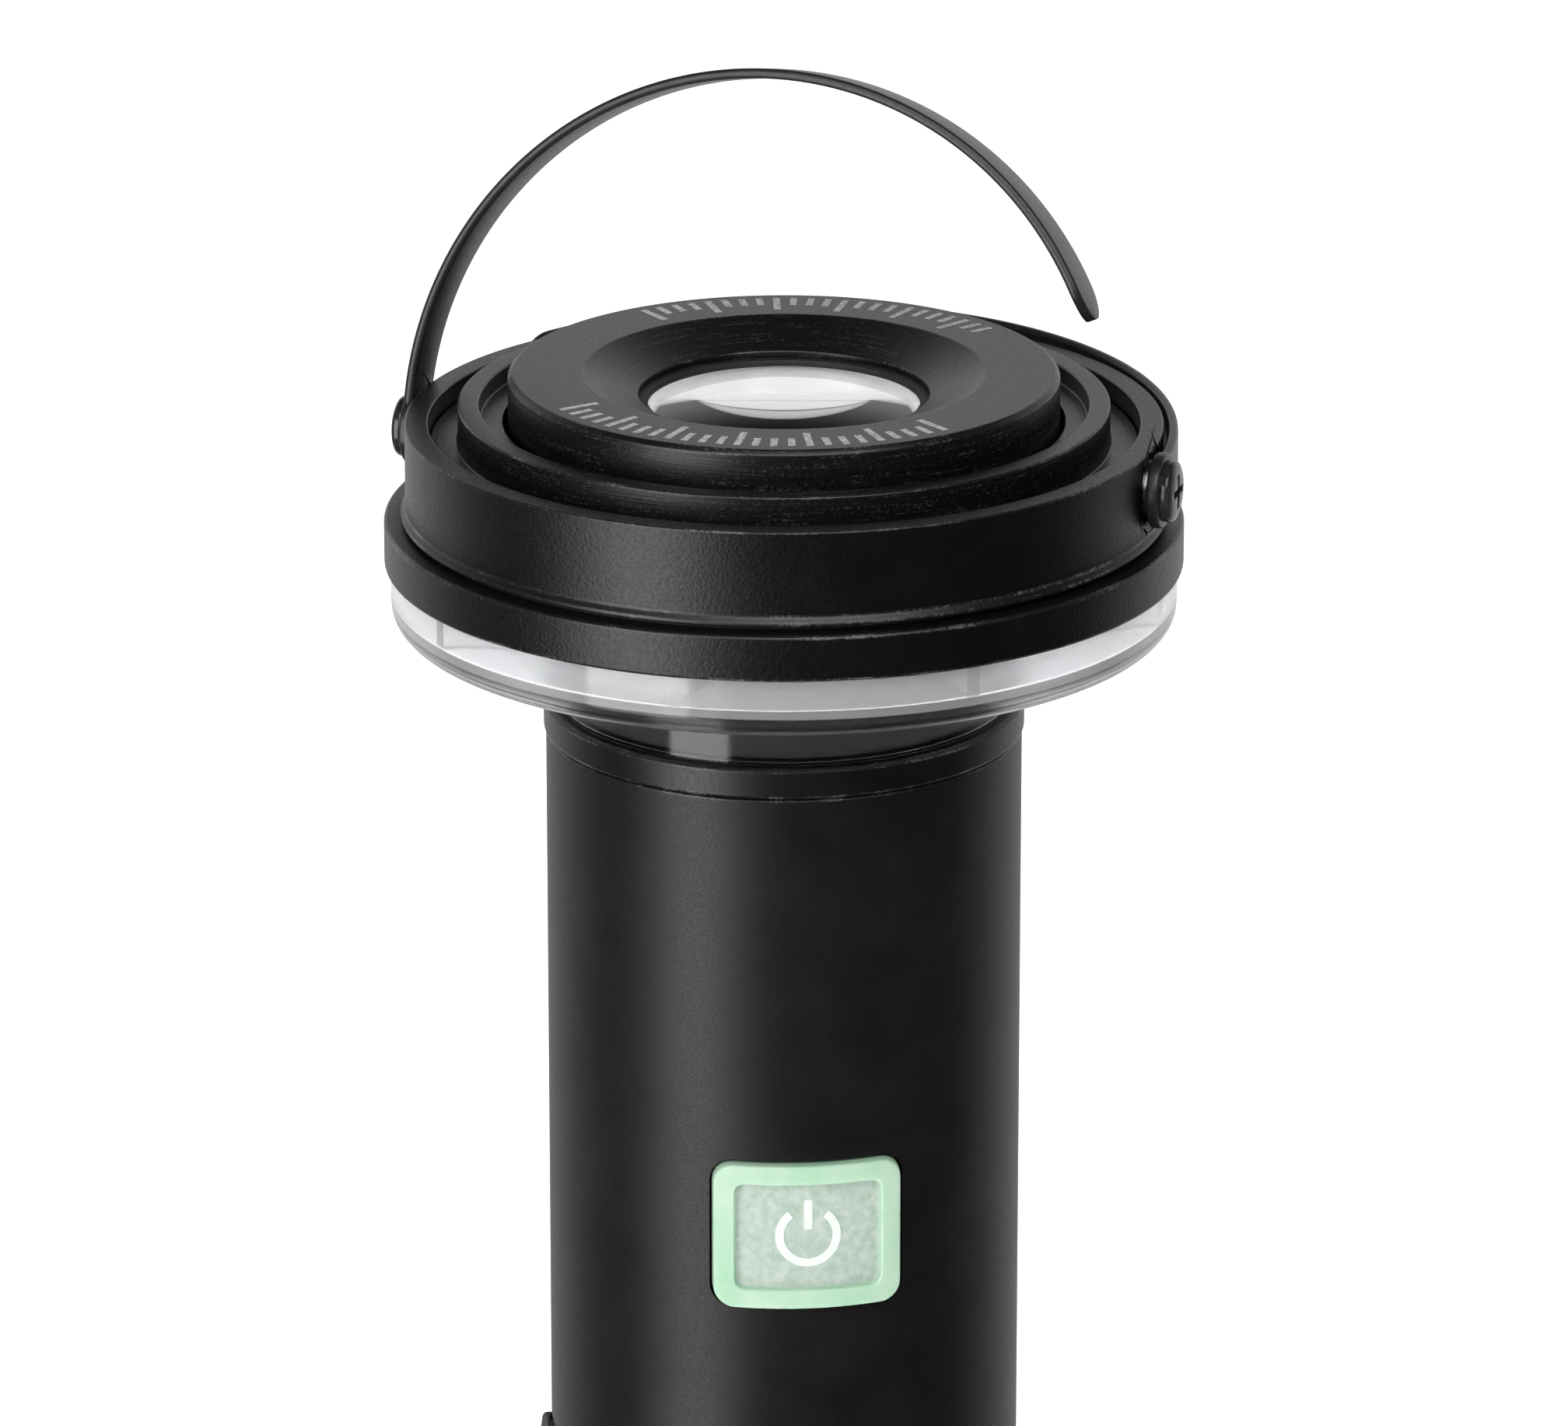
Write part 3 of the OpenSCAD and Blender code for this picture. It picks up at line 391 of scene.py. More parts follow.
def bump(tree, shader, height, depth, strength=1.0):
    """Raises a surface by a depth in mm where the height value is 1."""
    relief = tree.nodes.new("ShaderNodeBump")
    relief.inputs["Distance"].default_value = depth * MM
    relief.inputs["Strength"].default_value = strength
    tree.links.new(height, relief.inputs["Height"])
    tree.links.new(relief.outputs["Normal"], shader.inputs["Normal"])
    return relief


# Light specks on bevelled edges: partly real edge wear and partly a painted glint that stands in for the
# edges' highlights.
worn_and_glint_edge, tree, shader = new_material("worn_and_glint_edge")
patch = noise(tree, 240, detail=2)
glint_speck_noise = noise(tree, 3600, detail=3, roughness=0.7)
product = tree.nodes.new("ShaderNodeMath")
product.operation = "MULTIPLY"
tree.links.new(patch, product.inputs[0])
tree.links.new(glint_speck_noise, product.inputs[1])
rubbed_and_glint_colour = blend_colours(
    tree, product.outputs[0], (0.007, 0.007, 0.007), (0.085, 0.083, 0.08), 0.27, 0.38)
tree.links.new(rubbed_and_glint_colour, shader.inputs["Base Color"])
tree.links.new(between(tree, glint_speck_noise, 0.26, 0.44), shader.inputs["Roughness"])
bump(tree, shader, glint_speck_noise, 0.01)


def coated_black(name, grain_size, grain_depth, dull,
                 first=(0.0030, 0.0027, 0.0028), second=(0.0060, 0.0055, 0.0056)):
    """Matte black coat on metal with a fine orange-peel grain, its size and depth in mm."""
    material, tree, shader = new_material(name)
    cloud = noise(tree, 160, detail=3)
    tree.links.new(blend_colours(tree, cloud, first, second), shader.inputs["Base Color"])
    fine = noise(tree, 1 / (grain_size * MM), detail=3, roughness=0.6)
    tree.links.new(between(tree, fine, dull - 0.06, dull + 0.06), shader.inputs["Roughness"])
    bump(tree, shader, fine, grain_depth)
    return material


def finished(piece, material, body, slot, *nodes):
    """Gives a piece its material and its body, and hides the CAD nodes it stands for; the slot is not used.
    A piece whose edges carry wear and painted glint keeps them in its second material."""
    if len(piece.data.materials) > 1:
        piece.data.materials[0] = material
        piece.data.materials[1] = worn_and_glint_edge
    else:
        piece.data.materials.clear()
        piece.data.materials.append(material)
    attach(piece, body)
    if nodes:
        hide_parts(*nodes)
    return piece


tube_coat = coated_black("tube_coat", 0.2, 0.006, 0.46)
levels = (76.0, 93.0, 109.8, 124.8)
tube = turned("body_tube_shell", [(bore_r, tube_low), (tube_r, tube_low)]
              + [(tube_r, level) for level in levels] + [(tube_r, tube_high), (bore_r, tube_high)]
              + [(bore_r, level) for level in levels[::-1]])
softened(tube, 0.22, angle=40, worn=True)
button_hole = moved(
    slab("button_hole", button_w + 0.5, 12, button_h + 0.5, button_corner + 0.25),
    Matrix.Translation((0, -20 * MM, button_z * MM)))
cut(tube, button_hole)
port_hole = moved(
    slab("port_hole", 9.8, 12, 15.8, 1.5),
    facing_port(Matrix.Translation((0, -20 * MM, socket_z * MM))))
cut(tube, port_hole)
finished(tube, tube_coat, "lantern", "black_coated_alloy", "body_tube")

# ---- Neck collar ----
# The turned collar that closes the tube and carries the head. A dark joint line shows between them.
collar = turned("neck_collar_ring", [
    (15.7, 145.57), (18.4, 145.57), (18.9, 146.07), (18.9, 150.57), (17.1, 150.57), (17.1, 152.57),
    (18.9, 152.57), (18.9, 157.65), (21.0, 157.65), (21.2, 157.85), (21.2, 160.13), (20.9, 160.43),
    (18.2, 160.43), (18.2, 159.43), (15.7, 159.43)])
softened(collar, 0.12, worn=True)
collar_coat = coated_black("collar_coat", 0.3, 0.004, 0.4)
finished(collar, collar_coat, "lantern", "machined_black_alloy", "neck_collar")

# ---- Neck core ----
# A black anodised sleeve that the clear neck slides over; the leads run up inside it.
core = turned("neck_core_sleeve", [
    (15.7, 159.43), (18.1, 159.43), (18.1, 173.98), (23.0, 173.98), (23.0, 175.48), (15.7, 175.48)])
softened(core, 0.15)
finished(core, coated_black("core_coat", 0.4, 0.004, 0.36), "lantern", "machined_black_alloy", "neck_core")

# ---- Lower ring ----
# The widest part of the head, turned aluminium with the same textured coat as the housing.
ring = turned("lower_ring_band", [
    (15.7, 175.48), (33.55, 175.48), (33.55, 172.93), (35.05, 172.93), (35.05, 176.98), (15.7, 176.98)])
softened(ring, 0.3, worn=True)
head_coat = coated_black("head_coat", 0.3, 0.036, 0.38, (0.0014, 0.0012, 0.0013), (0.0030, 0.0027, 0.0028))
finished(ring, head_coat, "lantern", "black_coated_alloy", "lower_ring")

# ---- Head housing ----
# A turned cup round the heat sink. Its foot flares into a small bead above the gasket, and its wall
# has a milled flat round each pivot screw.
housing_r, housing_bore = 33.16, 31.10
pivot_z = 182.0
head_turn = radians(-22)


def at_pivot(side, reach):
    """A place on the pivot axis, its Z pointing outwards; side is 1 right and -1 left."""
    return (
        Matrix.Rotation(head_turn, 4, "Z")
        @ Matrix.Translation((side * reach * MM, 0, pivot_z * MM))
        @ Matrix.Rotation(side * pi / 2, 4, "Y")
    )


housing = turned("head_housing_cup", [
    (15.5, 177.24), (housing_r, 177.24), (33.58, 177.34), (33.58, 177.60), (33.45, 177.78),
    (housing_r, 178.14), (housing_r, 185.6), (housing_bore, 185.6), (housing_bore, 180.24),
    (15.5, 180.24)])
flat_r, flat_depth, tool_h = 3.7, 0.11, 3
for side in (-1, 1):
    clear_selection()
    bpy.ops.mesh.primitive_cylinder_add(vertices=64, radius=flat_r * MM, depth=tool_h * MM)
    flat = moved(bpy.context.object, at_pivot(side, housing_r - flat_depth + tool_h / 2))
    cut(housing, flat)
softened(housing, 0.16, worn=True)
finished(housing, head_coat, "lantern", "black_coated_alloy", "head_housing")

# ---- Heat sink ----
# A solid turned disc of aluminium with a raised cooling fin between two grooves. The tool marks show
# on its upright faces with painted glint specks along them, and its edges carry light specks, partly
# real wear and partly painted glint.
sink = turned("heat_sink_disc", [
    (31.0, 180.24), (31.0, 183.8), (28.5, 183.8), (28.5, 187.25), (26.6, 187.25), (26.6, 185.7),
    (24.5, 185.7), (24.5, 183.0), (13.4, 183.0), (13.4, 172.5), (0, 172.5)])


def turning_lines(tree, size):
    """Noise that changes only along the radius and the height, as a turning tool leaves it."""
    place = tree.nodes.new("ShaderNodeTexCoord")
    split = tree.nodes.new("ShaderNodeSeparateXYZ")
    flat = tree.nodes.new("ShaderNodeVectorMath")
    flat.operation = "MULTIPLY"
    flat.inputs[1].default_value = (1, 1, 0)
    length = tree.nodes.new("ShaderNodeVectorMath")
    length.operation = "LENGTH"
    gather = tree.nodes.new("ShaderNodeCombineXYZ")
    grain = tree.nodes.new("ShaderNodeTexNoise")
    grain.inputs["Scale"].default_value = 1 / (size * MM)
    grain.inputs["Detail"].default_value = 2
    slow = tree.nodes.new("ShaderNodeMath")
    slow.operation = "MULTIPLY"
    slow.inputs[1].default_value = 0.03
    tree.links.new(place.outputs["Object"], split.inputs[0])
    tree.links.new(place.outputs["Object"], flat.inputs[0])
    tree.links.new(flat.outputs["Vector"], length.inputs[0])
    tree.links.new(split.outputs["X"], slow.inputs[0])
    tree.links.new(length.outputs["Value"], gather.inputs["X"])
    tree.links.new(slow.outputs[0], gather.inputs["Y"])
    tree.links.new(split.outputs["Z"], gather.inputs["Z"])
    tree.links.new(gather.outputs["Vector"], grain.inputs["Vector"])
    return grain.outputs["Fac"]


def machined_black(name, dull, line_depth, glint_speck_colour):
    """Black anodised alloy with turning lines and light specks along them that are painted glints."""
    material, tree, shader = new_material(name)
    lines = turning_lines(tree, 0.16)
    glint_speck_noise = noise(tree, 3300, detail=3, roughness=0.7)
    mixed = tree.nodes.new("ShaderNodeMath")
    mixed.operation = "MULTIPLY"
    tree.links.new(lines, mixed.inputs[0])
    tree.links.new(glint_speck_noise, mixed.inputs[1])
    # Where the turning lines and the fine noise both peak, the colour lightens to a painted glint.
    tree.links.new(blend_colours(tree, mixed.outputs[0], (0.0036, 0.0034, 0.0036), glint_speck_colour, 0.30, 0.44),
                   shader.inputs["Base Color"])
    tree.links.new(between(tree, glint_speck_noise, dull - 0.07, dull + 0.07), shader.inputs["Roughness"])
    relief = tree.nodes.new("ShaderNodeMath")
    relief.operation = "MULTIPLY_ADD"
    relief.inputs[1].default_value = 0.8
    tree.links.new(glint_speck_noise, relief.inputs[0])
    tree.links.new(lines, relief.inputs[2])
    bump(tree, shader, relief.outputs[0], line_depth)
    return material


softened(sink, 0.2, angle=20, worn=True)
machined = machined_black("machined_black", 0.36, 0.012, (0.05, 0.048, 0.046))
finished(sink, machined, "lantern", "machined_black_alloy", "heat_sink")

# ---- Bezel ----
# A threaded ring that clamps the lens, with a wide countersink round the opening. Its top face is
# satin, and a printed scale of pale tick marks runs round it in two arcs.
bezel = turned("bezel_ring", [
    (12.7, 187.4), (12.7, 188.0), (17.6, 190.0), (23.7, 190.0), (24.1, 189.6), (24.1, 183.0),
    (15.5, 183.0), (15.5, 187.4)])
softened(bezel, 0.12, angle=15, worn=True)
finished(bezel, machined, "lantern", "machined_black_alloy", "bezel")

tick_low, tick_high, tick_wide, tick_step = 18.9, 22.6, 0.62, 4.0


def tick(name, angle, inner, outer):
    """A thin printed bar along a radius, at an angle clockwise from the button as seen from above."""
    piece = box(name, tick_wide, outer - inner, 0.03)
    return moved(piece, Matrix.Rotation(-angle, 4, "Z")
                 @ Matrix.Translation((0, -(inner + outer) / 2 * MM, 190.005 * MM)))


ticks = []
for arc, middle, count in (("front", radians(16), 25), ("back", radians(196), 23)):
    for i in range(count):
        turn = middle + radians((i - (count - 1) / 2) * tick_step)
        inner = tick_low if i % 4 == 0 else tick_low + 1.5
        ticks.append(tick(f"{arc}_tick_{i}", turn, inner, tick_high))
marks = joined(ticks, "bezel_marks")
print_ink, tree, shader = new_material("print_ink")
worn = noise(tree, 2200, detail=3)
tree.links.new(blend_colours(tree, worn, (0.34, 0.33, 0.32), (0.66, 0.65, 0.63), 0.35, 0.55),
               shader.inputs["Base Color"])
shader.inputs["Roughness"].default_value = 0.6
finished(marks, print_ink, "lantern", "white_print")

# ---- Lens, gasket and spot light ----
# A clear moulded lens pressed on a black gasket, over a metallised bowl and one emitter.
lens_profile = [(15.4, 185.8), (15.4, 186.8), (11.85, 186.8)]
dome = (11.8 ** 2 + 1.7 ** 2) / (2 * 1.7)
dome_centre = 186.8 + 1.7 - dome
for i in range(1, 13):
    angle = asin(11.8 / dome) * (1 - i / 12)
    lens_profile.append((dome * sin(angle), dome_centre + dome * cos(angle)))
lens_profile[-1] = (0, 188.5)
lens = turned("lens_dome", lens_profile, sides=160)
closed(lens, pole=True)
bpy.ops.object.shade_smooth_by_angle(angle=radians(30))


def clear_material(name, tint, dull, index, wave=0.0):
    """Clear moulded plastic with faint flow waves in its surface."""
    material, tree, shader = new_material(name)
    shader.inputs["Base Color"].default_value = (*tint, 1)
    shader.inputs["Transmission Weight"].default_value = 1
    shader.inputs["IOR"].default_value = index
    flow = noise(tree, 90, detail=2, stretch=(1, 1, 6))
    tree.links.new(between(tree, flow, dull, dull + 0.04), shader.inputs["Roughness"])
    if wave:
        bump(tree, shader, flow, wave)
    return material


finished(lens, clear_material("lens_clear_material", (1, 1, 1), 0.0, 1.5), "lantern", "lens_clear", "lens")

gasket = turned("lens_gasket_ring", [
    (11.9, 186.8), (15.4, 186.8), (15.4, 187.4), (11.9, 187.4)], sides=160)


def rubber(name, colour=(0.012, 0.012, 0.012), dull=0.62):
    """Matte moulded rubber with a soft grain."""
    material, tree, shader = new_material(name)
    cloud = noise(tree, 300, detail=3)
    lighter = tuple(min(1, c * 1.7 + 0.002) for c in colour)
    tree.links.new(blend_colours(tree, cloud, colour, lighter), shader.inputs["Base Color"])
    grain = noise(tree, 4200, detail=2)
    tree.links.new(between(tree, grain, dull - 0.07, dull + 0.07), shader.inputs["Roughness"])
    bump(tree, shader, grain, 0.008)
    return material


softened(gasket, 0.12)
black_rubber = rubber("black_rubber_material")
finished(gasket, black_rubber, "lantern", "black_rubber", "lens_gasket")

bowl_inner, bowl_outer = [], []
for i in range(15):
    share = (i / 14) ** 2
    height = 174.2 + (185.8 - 174.2) * share
    radius = 3.4 + (12.4 - 3.4) * sqrt(share)
    bowl_inner.append((radius, height))
    bowl_outer.append((radius + 0.8, height))
bowl_rim = [(15.3, 185.8), (15.3, 184.8), (13.0, 184.8)]
bowl = turned("reflector_bowl", bowl_inner + bowl_rim + bowl_outer[-3::-1], sides=128)
select_only(bowl)
bpy.ops.object.shade_smooth_by_angle(angle=radians(35))
mirror, tree, shader = new_material("mirror_film")
shader.inputs["Metallic"].default_value = 0.5
peel = noise(tree, 420, detail=2)
tree.links.new(blend_colours(tree, peel, (0.86, 0.86, 0.87), (0.95, 0.95, 0.95)), shader.inputs["Base Color"])
tree.links.new(between(tree, peel, 0.42, 0.5), shader.inputs["Roughness"])
bump(tree, shader, peel, 0.02)
# A weak glow stands for the room light that comes in through the lens.
shader.inputs["Emission Color"].default_value = (1, 1, 1, 1)
shader.inputs["Emission Strength"].default_value = 0.35
finished(bowl, mirror, "lantern", "bright_reflector", "reflector")

# ---- Clear cover of the down-light ----
# One clear moulding: a shallow tray below the lower ring, with eight ribs inside, and a neck that
# slides over the core. Its floor turns up into the wall in a round. The tray's inside is a little
# hazy, and the neck is tinted grey: painted shade under the tray, over the real black core.
tray_floor, neck_top, core_gap = 169.6, 167.4, 18.6
cover_profile = [(18.7, 160.43), (20.3, 160.43), (20.3, 167.53), (32.6, 167.53)]
for i in range(1, 9):
    angle = radians(90 * i / 8)
    cover_profile.append((32.6 + 1.9 * sin(angle), 169.43 - 1.9 * cos(angle)))
cover_profile += [(34.5, 172.9), (33.25, 172.93), (33.25, 173.83), (32.25, 173.83), (32.9, 172.53),
                  (32.9, 169.9), (32.7, 169.73), (18.7, 169.73)]
cover = turned("light_cover_tray", cover_profile)
softened(cover, 0.18, angle=35)
clear_plastic = clear_material("clear_plastic_material", (0.93, 0.94, 0.95), 0.15, 1.49, wave=0.05)
finished(cover, clear_plastic, "lantern", "clear_plastic", "light_cover")
hazy_plastic = clear_material("hazy_plastic", (0.94, 0.95, 0.97), 0.10, 1.49, wave=0.03)
hazy_plastic.node_tree.nodes["Principled BSDF"].inputs["Transmission Weight"].default_value = 0.84
cover.data.materials.append(hazy_plastic)
# The neck's copy of the clear plastic is tinted grey: painted shade under the tray.
neck_painted_shade_plastic = clear_material("neck_painted_shade_plastic", (0.4, 0.41, 0.42), 0.10, 1.49, wave=0.05)
cover.data.materials.append(neck_painted_shade_plastic)
for face in cover.data.polygons:
    if face.center.z / MM > tray_floor and face.center.xy.length / MM > core_gap:
        face.material_index = 1
    elif face.center.z / MM < neck_top:
        face.material_index = 2
ribs = []
for i in range(8):
    rib = slab(f"rib_{i}", 1.2, 10.6, 2.7, 0.25, steps=2)
    ribs.append(moved(rib, Matrix.Rotation(head_turn + radians(45 * i) + pi / 2, 4, "Z")
                      @ Matrix.Translation((0, -27.55 * MM, 171.12 * MM))))
cover_ribs = joined(ribs, "light_cover_ribs")
finished(cover_ribs, clear_plastic, "lantern", "clear_plastic")

# ---- Hooks ----
# Two strips of spring steel with rounded edges and round tips, rolled to the head's radius and
# painted satin black. Each turns on one pivot screw: the left one stands, the right one lies back.
hook_r, hook_t, hook_w = 33.90, 0.9, 5.8


def hook(name, arc_r, rise, sweep, side, lean):
    """A hook whose arc starts at the left eyelet, turned about the pivot axis by its lean."""
    centre = ((arc_r - hook_r) * MM, 0, rise * MM)
    clear_selection()
    bpy.ops.mesh.primitive_plane_add(size=1)
    piece = bpy.context.object
    piece.name = name
    bpy.ops.object.mode_set(mode="EDIT")
    bpy.ops.transform.resize(value=(hook_t * MM, hook_w * MM, 1))
    bpy.ops.mesh.select_mode(type="VERT")
    bpy.ops.mesh.select_all(action="SELECT")
    bpy.ops.mesh.bevel(offset=0.38 * MM, segments=5, affect="VERTICES")
    bpy.ops.mesh.select_all(action="SELECT")
    bpy.ops.transform.translate(value=(-hook_r * MM, 0, rise * MM))
    tip_sweep = (hook_w / 2 + 0.1) / arc_r
    bpy.ops.mesh.spin(steps=110, angle=tip_sweep - radians(sweep), center=centre, axis=(0, 1, 0))
    tip_steps, width = 10, 1.0
    for i in range(1, tip_steps + 1):
        reach, before = sin(pi / 2 * i / tip_steps), sin(pi / 2 * (i - 1) / tip_steps)
        next_width = max(sqrt(max(0, 1 - reach * reach)), 0.07)
        bpy.ops.mesh.spin(steps=1, angle=tip_sweep * (before - reach), center=centre, axis=(0, 1, 0))
        bpy.ops.transform.resize(value=(1, next_width / width, 1), center_override=(0, 0, 0))
        width = next_width
    bpy.ops.mesh.select_all(action="SELECT")
    bpy.ops.mesh.remove_doubles(threshold=1e-6)
    bpy.ops.mesh.normals_make_consistent(inside=False)
    bpy.ops.object.mode_set(mode="OBJECT")
    clear_selection()
    bpy.ops.mesh.primitive_cylinder_add(vertices=72, radius=3.3 * MM, depth=1.05 * MM)
    across = Matrix.Rotation(pi / 2, 4, "Y")
    eyelet = moved(bpy.context.object, Matrix.Translation((-(hook_r + 0.025) * MM, 0, 0)) @ across)
    cut(piece, softened(eyelet, 0.22), "UNION")
    clear_selection()
    bpy.ops.mesh.primitive_cylinder_add(vertices=48, radius=1.51 * MM, depth=6 * MM)
    bore = moved(bpy.context.object, Matrix.Translation((-hook_r * MM, 0, 0)) @ across)
    cut(piece, bore)
    bpy.ops.object.shade_smooth_by_angle(angle=radians(35))
    flip = Matrix.Scale(-1, 4, (1, 0, 0)) if side > 0 else Matrix.Identity(4)
    moved(piece, Matrix.Rotation(head_turn, 4, "Z") @ Matrix.Translation((0, 0, pivot_z * MM))
          @ Matrix.Rotation(radians(lean), 4, "X") @ flip)
    if side > 0:
        facing_out(piece)
    return piece


hook_paint, tree, shader = new_material("hook_paint")
cloud = noise(tree, 500, detail=3)
tree.links.new(blend_colours(tree, cloud, (0.010, 0.0105, 0.0105), (0.018, 0.0185, 0.018)),
               shader.inputs["Base Color"])
fine = noise(tree, 3800, detail=3)
tree.links.new(between(tree, fine, 0.30, 0.42), shader.inputs["Roughness"])
bump(tree, shader, fine, 0.005)
left_hook = hook("hook_left_strip", 31.6, 1.8, 157, -1, -14.5)
finished(left_hook, hook_paint, "hook_left", "hook_steel", "hook_left")
right_hook = hook("hook_right_strip", 33.90, 0.4, 150, 1, 2.5 - 90)
finished(right_hook, hook_paint, "hook_right", "hook_steel", "hook_right")

# ---- Pivot screws ----
# Two black oxide pan-head screws with a cross recess. They hold the hooks to the housing.
screw_head_r, screw_head_h = 2.7, 1.1
pivot_head_u = 34.45


def cross_tool(reach, width, depth):
    """A cross-shaped punch, pointing down, its top at z = 0."""
    arms = []
    for turn in (0, pi / 2):
        arm = box(f"cross_arm_{len(arms)}", 2 * reach, width, 2 * depth)
        arms.append(moved(arm, Matrix.Rotation(turn, 4, "Z")))
    select_only(arms[0])
    weld = arms[0].modifiers.new("weld", "BOOLEAN")
    weld.operation = "UNION"
    weld.object = arms[1]
    bpy.ops.object.modifier_apply(modifier=weld.name)
    bpy.data.objects.remove(arms[1])
    return arms[0]


screw_black, tree, shader = new_material("screw_black_material")
shader.inputs["Metallic"].default_value = 0.6
oil = noise(tree, 900, detail=2)
tree.links.new(blend_colours(tree, oil, (0.03, 0.032, 0.03), (0.07, 0.075, 0.07)),
               shader.inputs["Base Color"])
tree.links.new(between(tree, oil, 0.16, 0.28), shader.inputs["Roughness"])
for side, word in ((-1, "left"), (1, "right")):
    head = turned(f"pivot_screw_{word}", [
        (1.45, -7.2), (1.45, 0), (screw_head_r, 0), (screw_head_r, screw_head_h * 0.55),
        (screw_head_r * 0.94, screw_head_h * 0.78), (screw_head_r * 0.78, screw_head_h * 0.94),
        (1.2, screw_head_h), (0, screw_head_h)], sides=64)
    closed(head, pole=False)
    punch = cross_tool(1.5, 0.62, 0.6)
    cut(head, moved(punch, Matrix.Translation((0, 0, screw_head_h * MM))))
    softened(head, 0.06, segments=2)
    moved(head, at_pivot(side, pivot_head_u))
    finished(head, screw_black, "lantern", "screw_black")
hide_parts("pivot_screws")

# ---- Button ----
# One piece of translucent silicone with a green glow pigment, moulded to the tube's curve: a soft
# rim round a frosted panel, with a white power symbol set in the panel.
button_r, rim_w, panel_r = 21.8, 1.8, 21.1
button = curved_plate("button_cap", button_w, button_h, button_corner, 19.4, button_r)
recess = curved_plate(
    "button_recess", button_w - 2 * rim_w, button_h - 2 * rim_w, 0.9, panel_r, 23)
cut(button, recess)
moulded(button, 0.13, 18)
moved(button, Matrix.Translation((0, 0, button_z * MM)))
silicone, tree, shader = new_material("glow_silicone_material")
mottle = noise(tree, 260, detail=4)
tree.links.new(blend_colours(tree, mottle, (0.33, 0.55, 0.38), (0.46, 0.60, 0.48)),
               shader.inputs["Base Color"])
frost = noise(tree, 3200, detail=3)
tree.links.new(between(tree, frost, 0.32, 0.46), shader.inputs["Roughness"])
shader.inputs["Subsurface Weight"].default_value = 0.6
shader.inputs["Subsurface Radius"].default_value = (0.7, 1.0, 0.8)
shader.inputs["Subsurface Scale"].default_value = 0.0012
bump(tree, shader, frost, 0.01)
finished(button, silicone, "push_button", "glow_silicone", "button")
frosted_panel, tree, shader = new_material("frosted_panel_material")
speckle = noise(tree, 1500, detail=4)
tree.links.new(blend_colours(tree, speckle, (0.30, 0.40, 0.33), (0.44, 0.50, 0.45)),
               shader.inputs["Base Color"])
tree.links.new(between(tree, speckle, 0.5, 0.62), shader.inputs["Roughness"])
bump(tree, shader, speckle, 0.03)
button.data.materials.append(frosted_panel)
for face in button.data.polygons:
    centre = face.center / MM
    if (centre.xy.length < panel_r + 0.12 and abs(centre.x) < button_w / 2 - rim_w
            and centre.y < -19.6 and abs(centre.z - button_z) < button_h / 2 - rim_w):
        face.material_index = 1

symbol_r, symbol_w = 2.9, 0.75
mark_depth = (panel_r - 0.05) * MM
clear_selection()
bpy.ops.mesh.primitive_plane_add(size=1)
mark = bpy.context.object
mark.name = "button_mark"
bpy.ops.object.mode_set(mode="EDIT")
bpy.ops.transform.resize(value=(symbol_w * MM, 3 * MM, 1))
bpy.ops.transform.translate(value=((symbol_r - symbol_w / 2) * MM, -mark_depth, 0))
gap = radians(38)
bpy.ops.mesh.spin(steps=48, angle=2 * gap - 2 * pi, center=(0, 0, 0), axis=(0, 1, 0))
bpy.ops.mesh.select_all(action="SELECT")
bpy.ops.mesh.normals_make_consistent(inside=False)
bpy.ops.object.mode_set(mode="OBJECT")
moved(mark, Matrix.Rotation(gap - pi / 2, 4, "Y"))
bar = slab("mark_bar", symbol_w, 3, symbol_r * 0.95, 0.15, steps=3)
cut(mark, moved(bar, Matrix.Translation((0, -mark_depth, symbol_r * 0.675 * MM))), "UNION")
band = turned("mark_band", [
    (panel_r - 0.3, -5), (panel_r + 0.05, -5), (panel_r + 0.05, 5), (panel_r - 0.3, 5)])
cut(mark, band, "INTERSECT")
moved(mark, Matrix.Translation((0, 0, button_z * MM)))
white_inlay, tree, shader = new_material("white_inlay")
chalk = noise(tree, 900, detail=3)
tree.links.new(blend_colours(tree, chalk, (0.62, 0.68, 0.63), (0.72, 0.76, 0.72)),
               shader.inputs["Base Color"])
tree.links.new(between(tree, chalk, 0.4, 0.55), shader.inputs["Roughness"])
shader.inputs["Subsurface Weight"].default_value = 0.2
shader.inputs["Subsurface Scale"].default_value = 0.0006
finished(mark, white_inlay, "push_button", "white_print", "button_symbol")

# ---- Tail cap ----
# A deep turned cap with thirty grip flutes. It screws on over the end of the tube.
cap_r, cap_top = 23.2, 21.0
cap = turned("tail_cap_cup", [
    (20.1, 0.6), (22.0, 0.6), (22.65, 0.76), (23.05, 1.15), (cap_r, 1.8), (cap_r, 20.2),
    (22.4, cap_top), (21.1, cap_top), (21.1, 5.0), (20.6, 5.0), (20.6, 4.2), (20.1, 1.6)], sides=360)
floor_disc = turned("tail_cap_floor", [(21.3, 1.62), (21.3, 5.0), (0, 5.0)], sides=128)
closed(floor_disc, pole=False)
flutes, flute_count, flute_reach = [], 30, 23.98
for i in range(flute_count):
    clear_selection()
    bpy.ops.mesh.primitive_cylinder_add(vertices=24, radius=1.3 * MM, depth=13.8 * MM)
    flute = softened(bpy.context.object, 0.5, segments=3)
    turn = 2 * pi * i / flute_count
    flutes.append(moved(flute, Matrix.Translation((
        flute_reach * cos(turn) * MM, flute_reach * sin(turn) * MM, 10.1 * MM))))
cut(cap, joined(flutes, "grip_flutes"))
softened(cap, 0.2, angle=42, segments=2)
cap_coat = coated_black("cap_coat", 0.3, 0.012, 0.42)
finished(cap, cap_coat, "lantern", "black_coated_alloy", "tail_cap")
finished(floor_disc, cap_coat, "lantern", "black_coated_alloy")

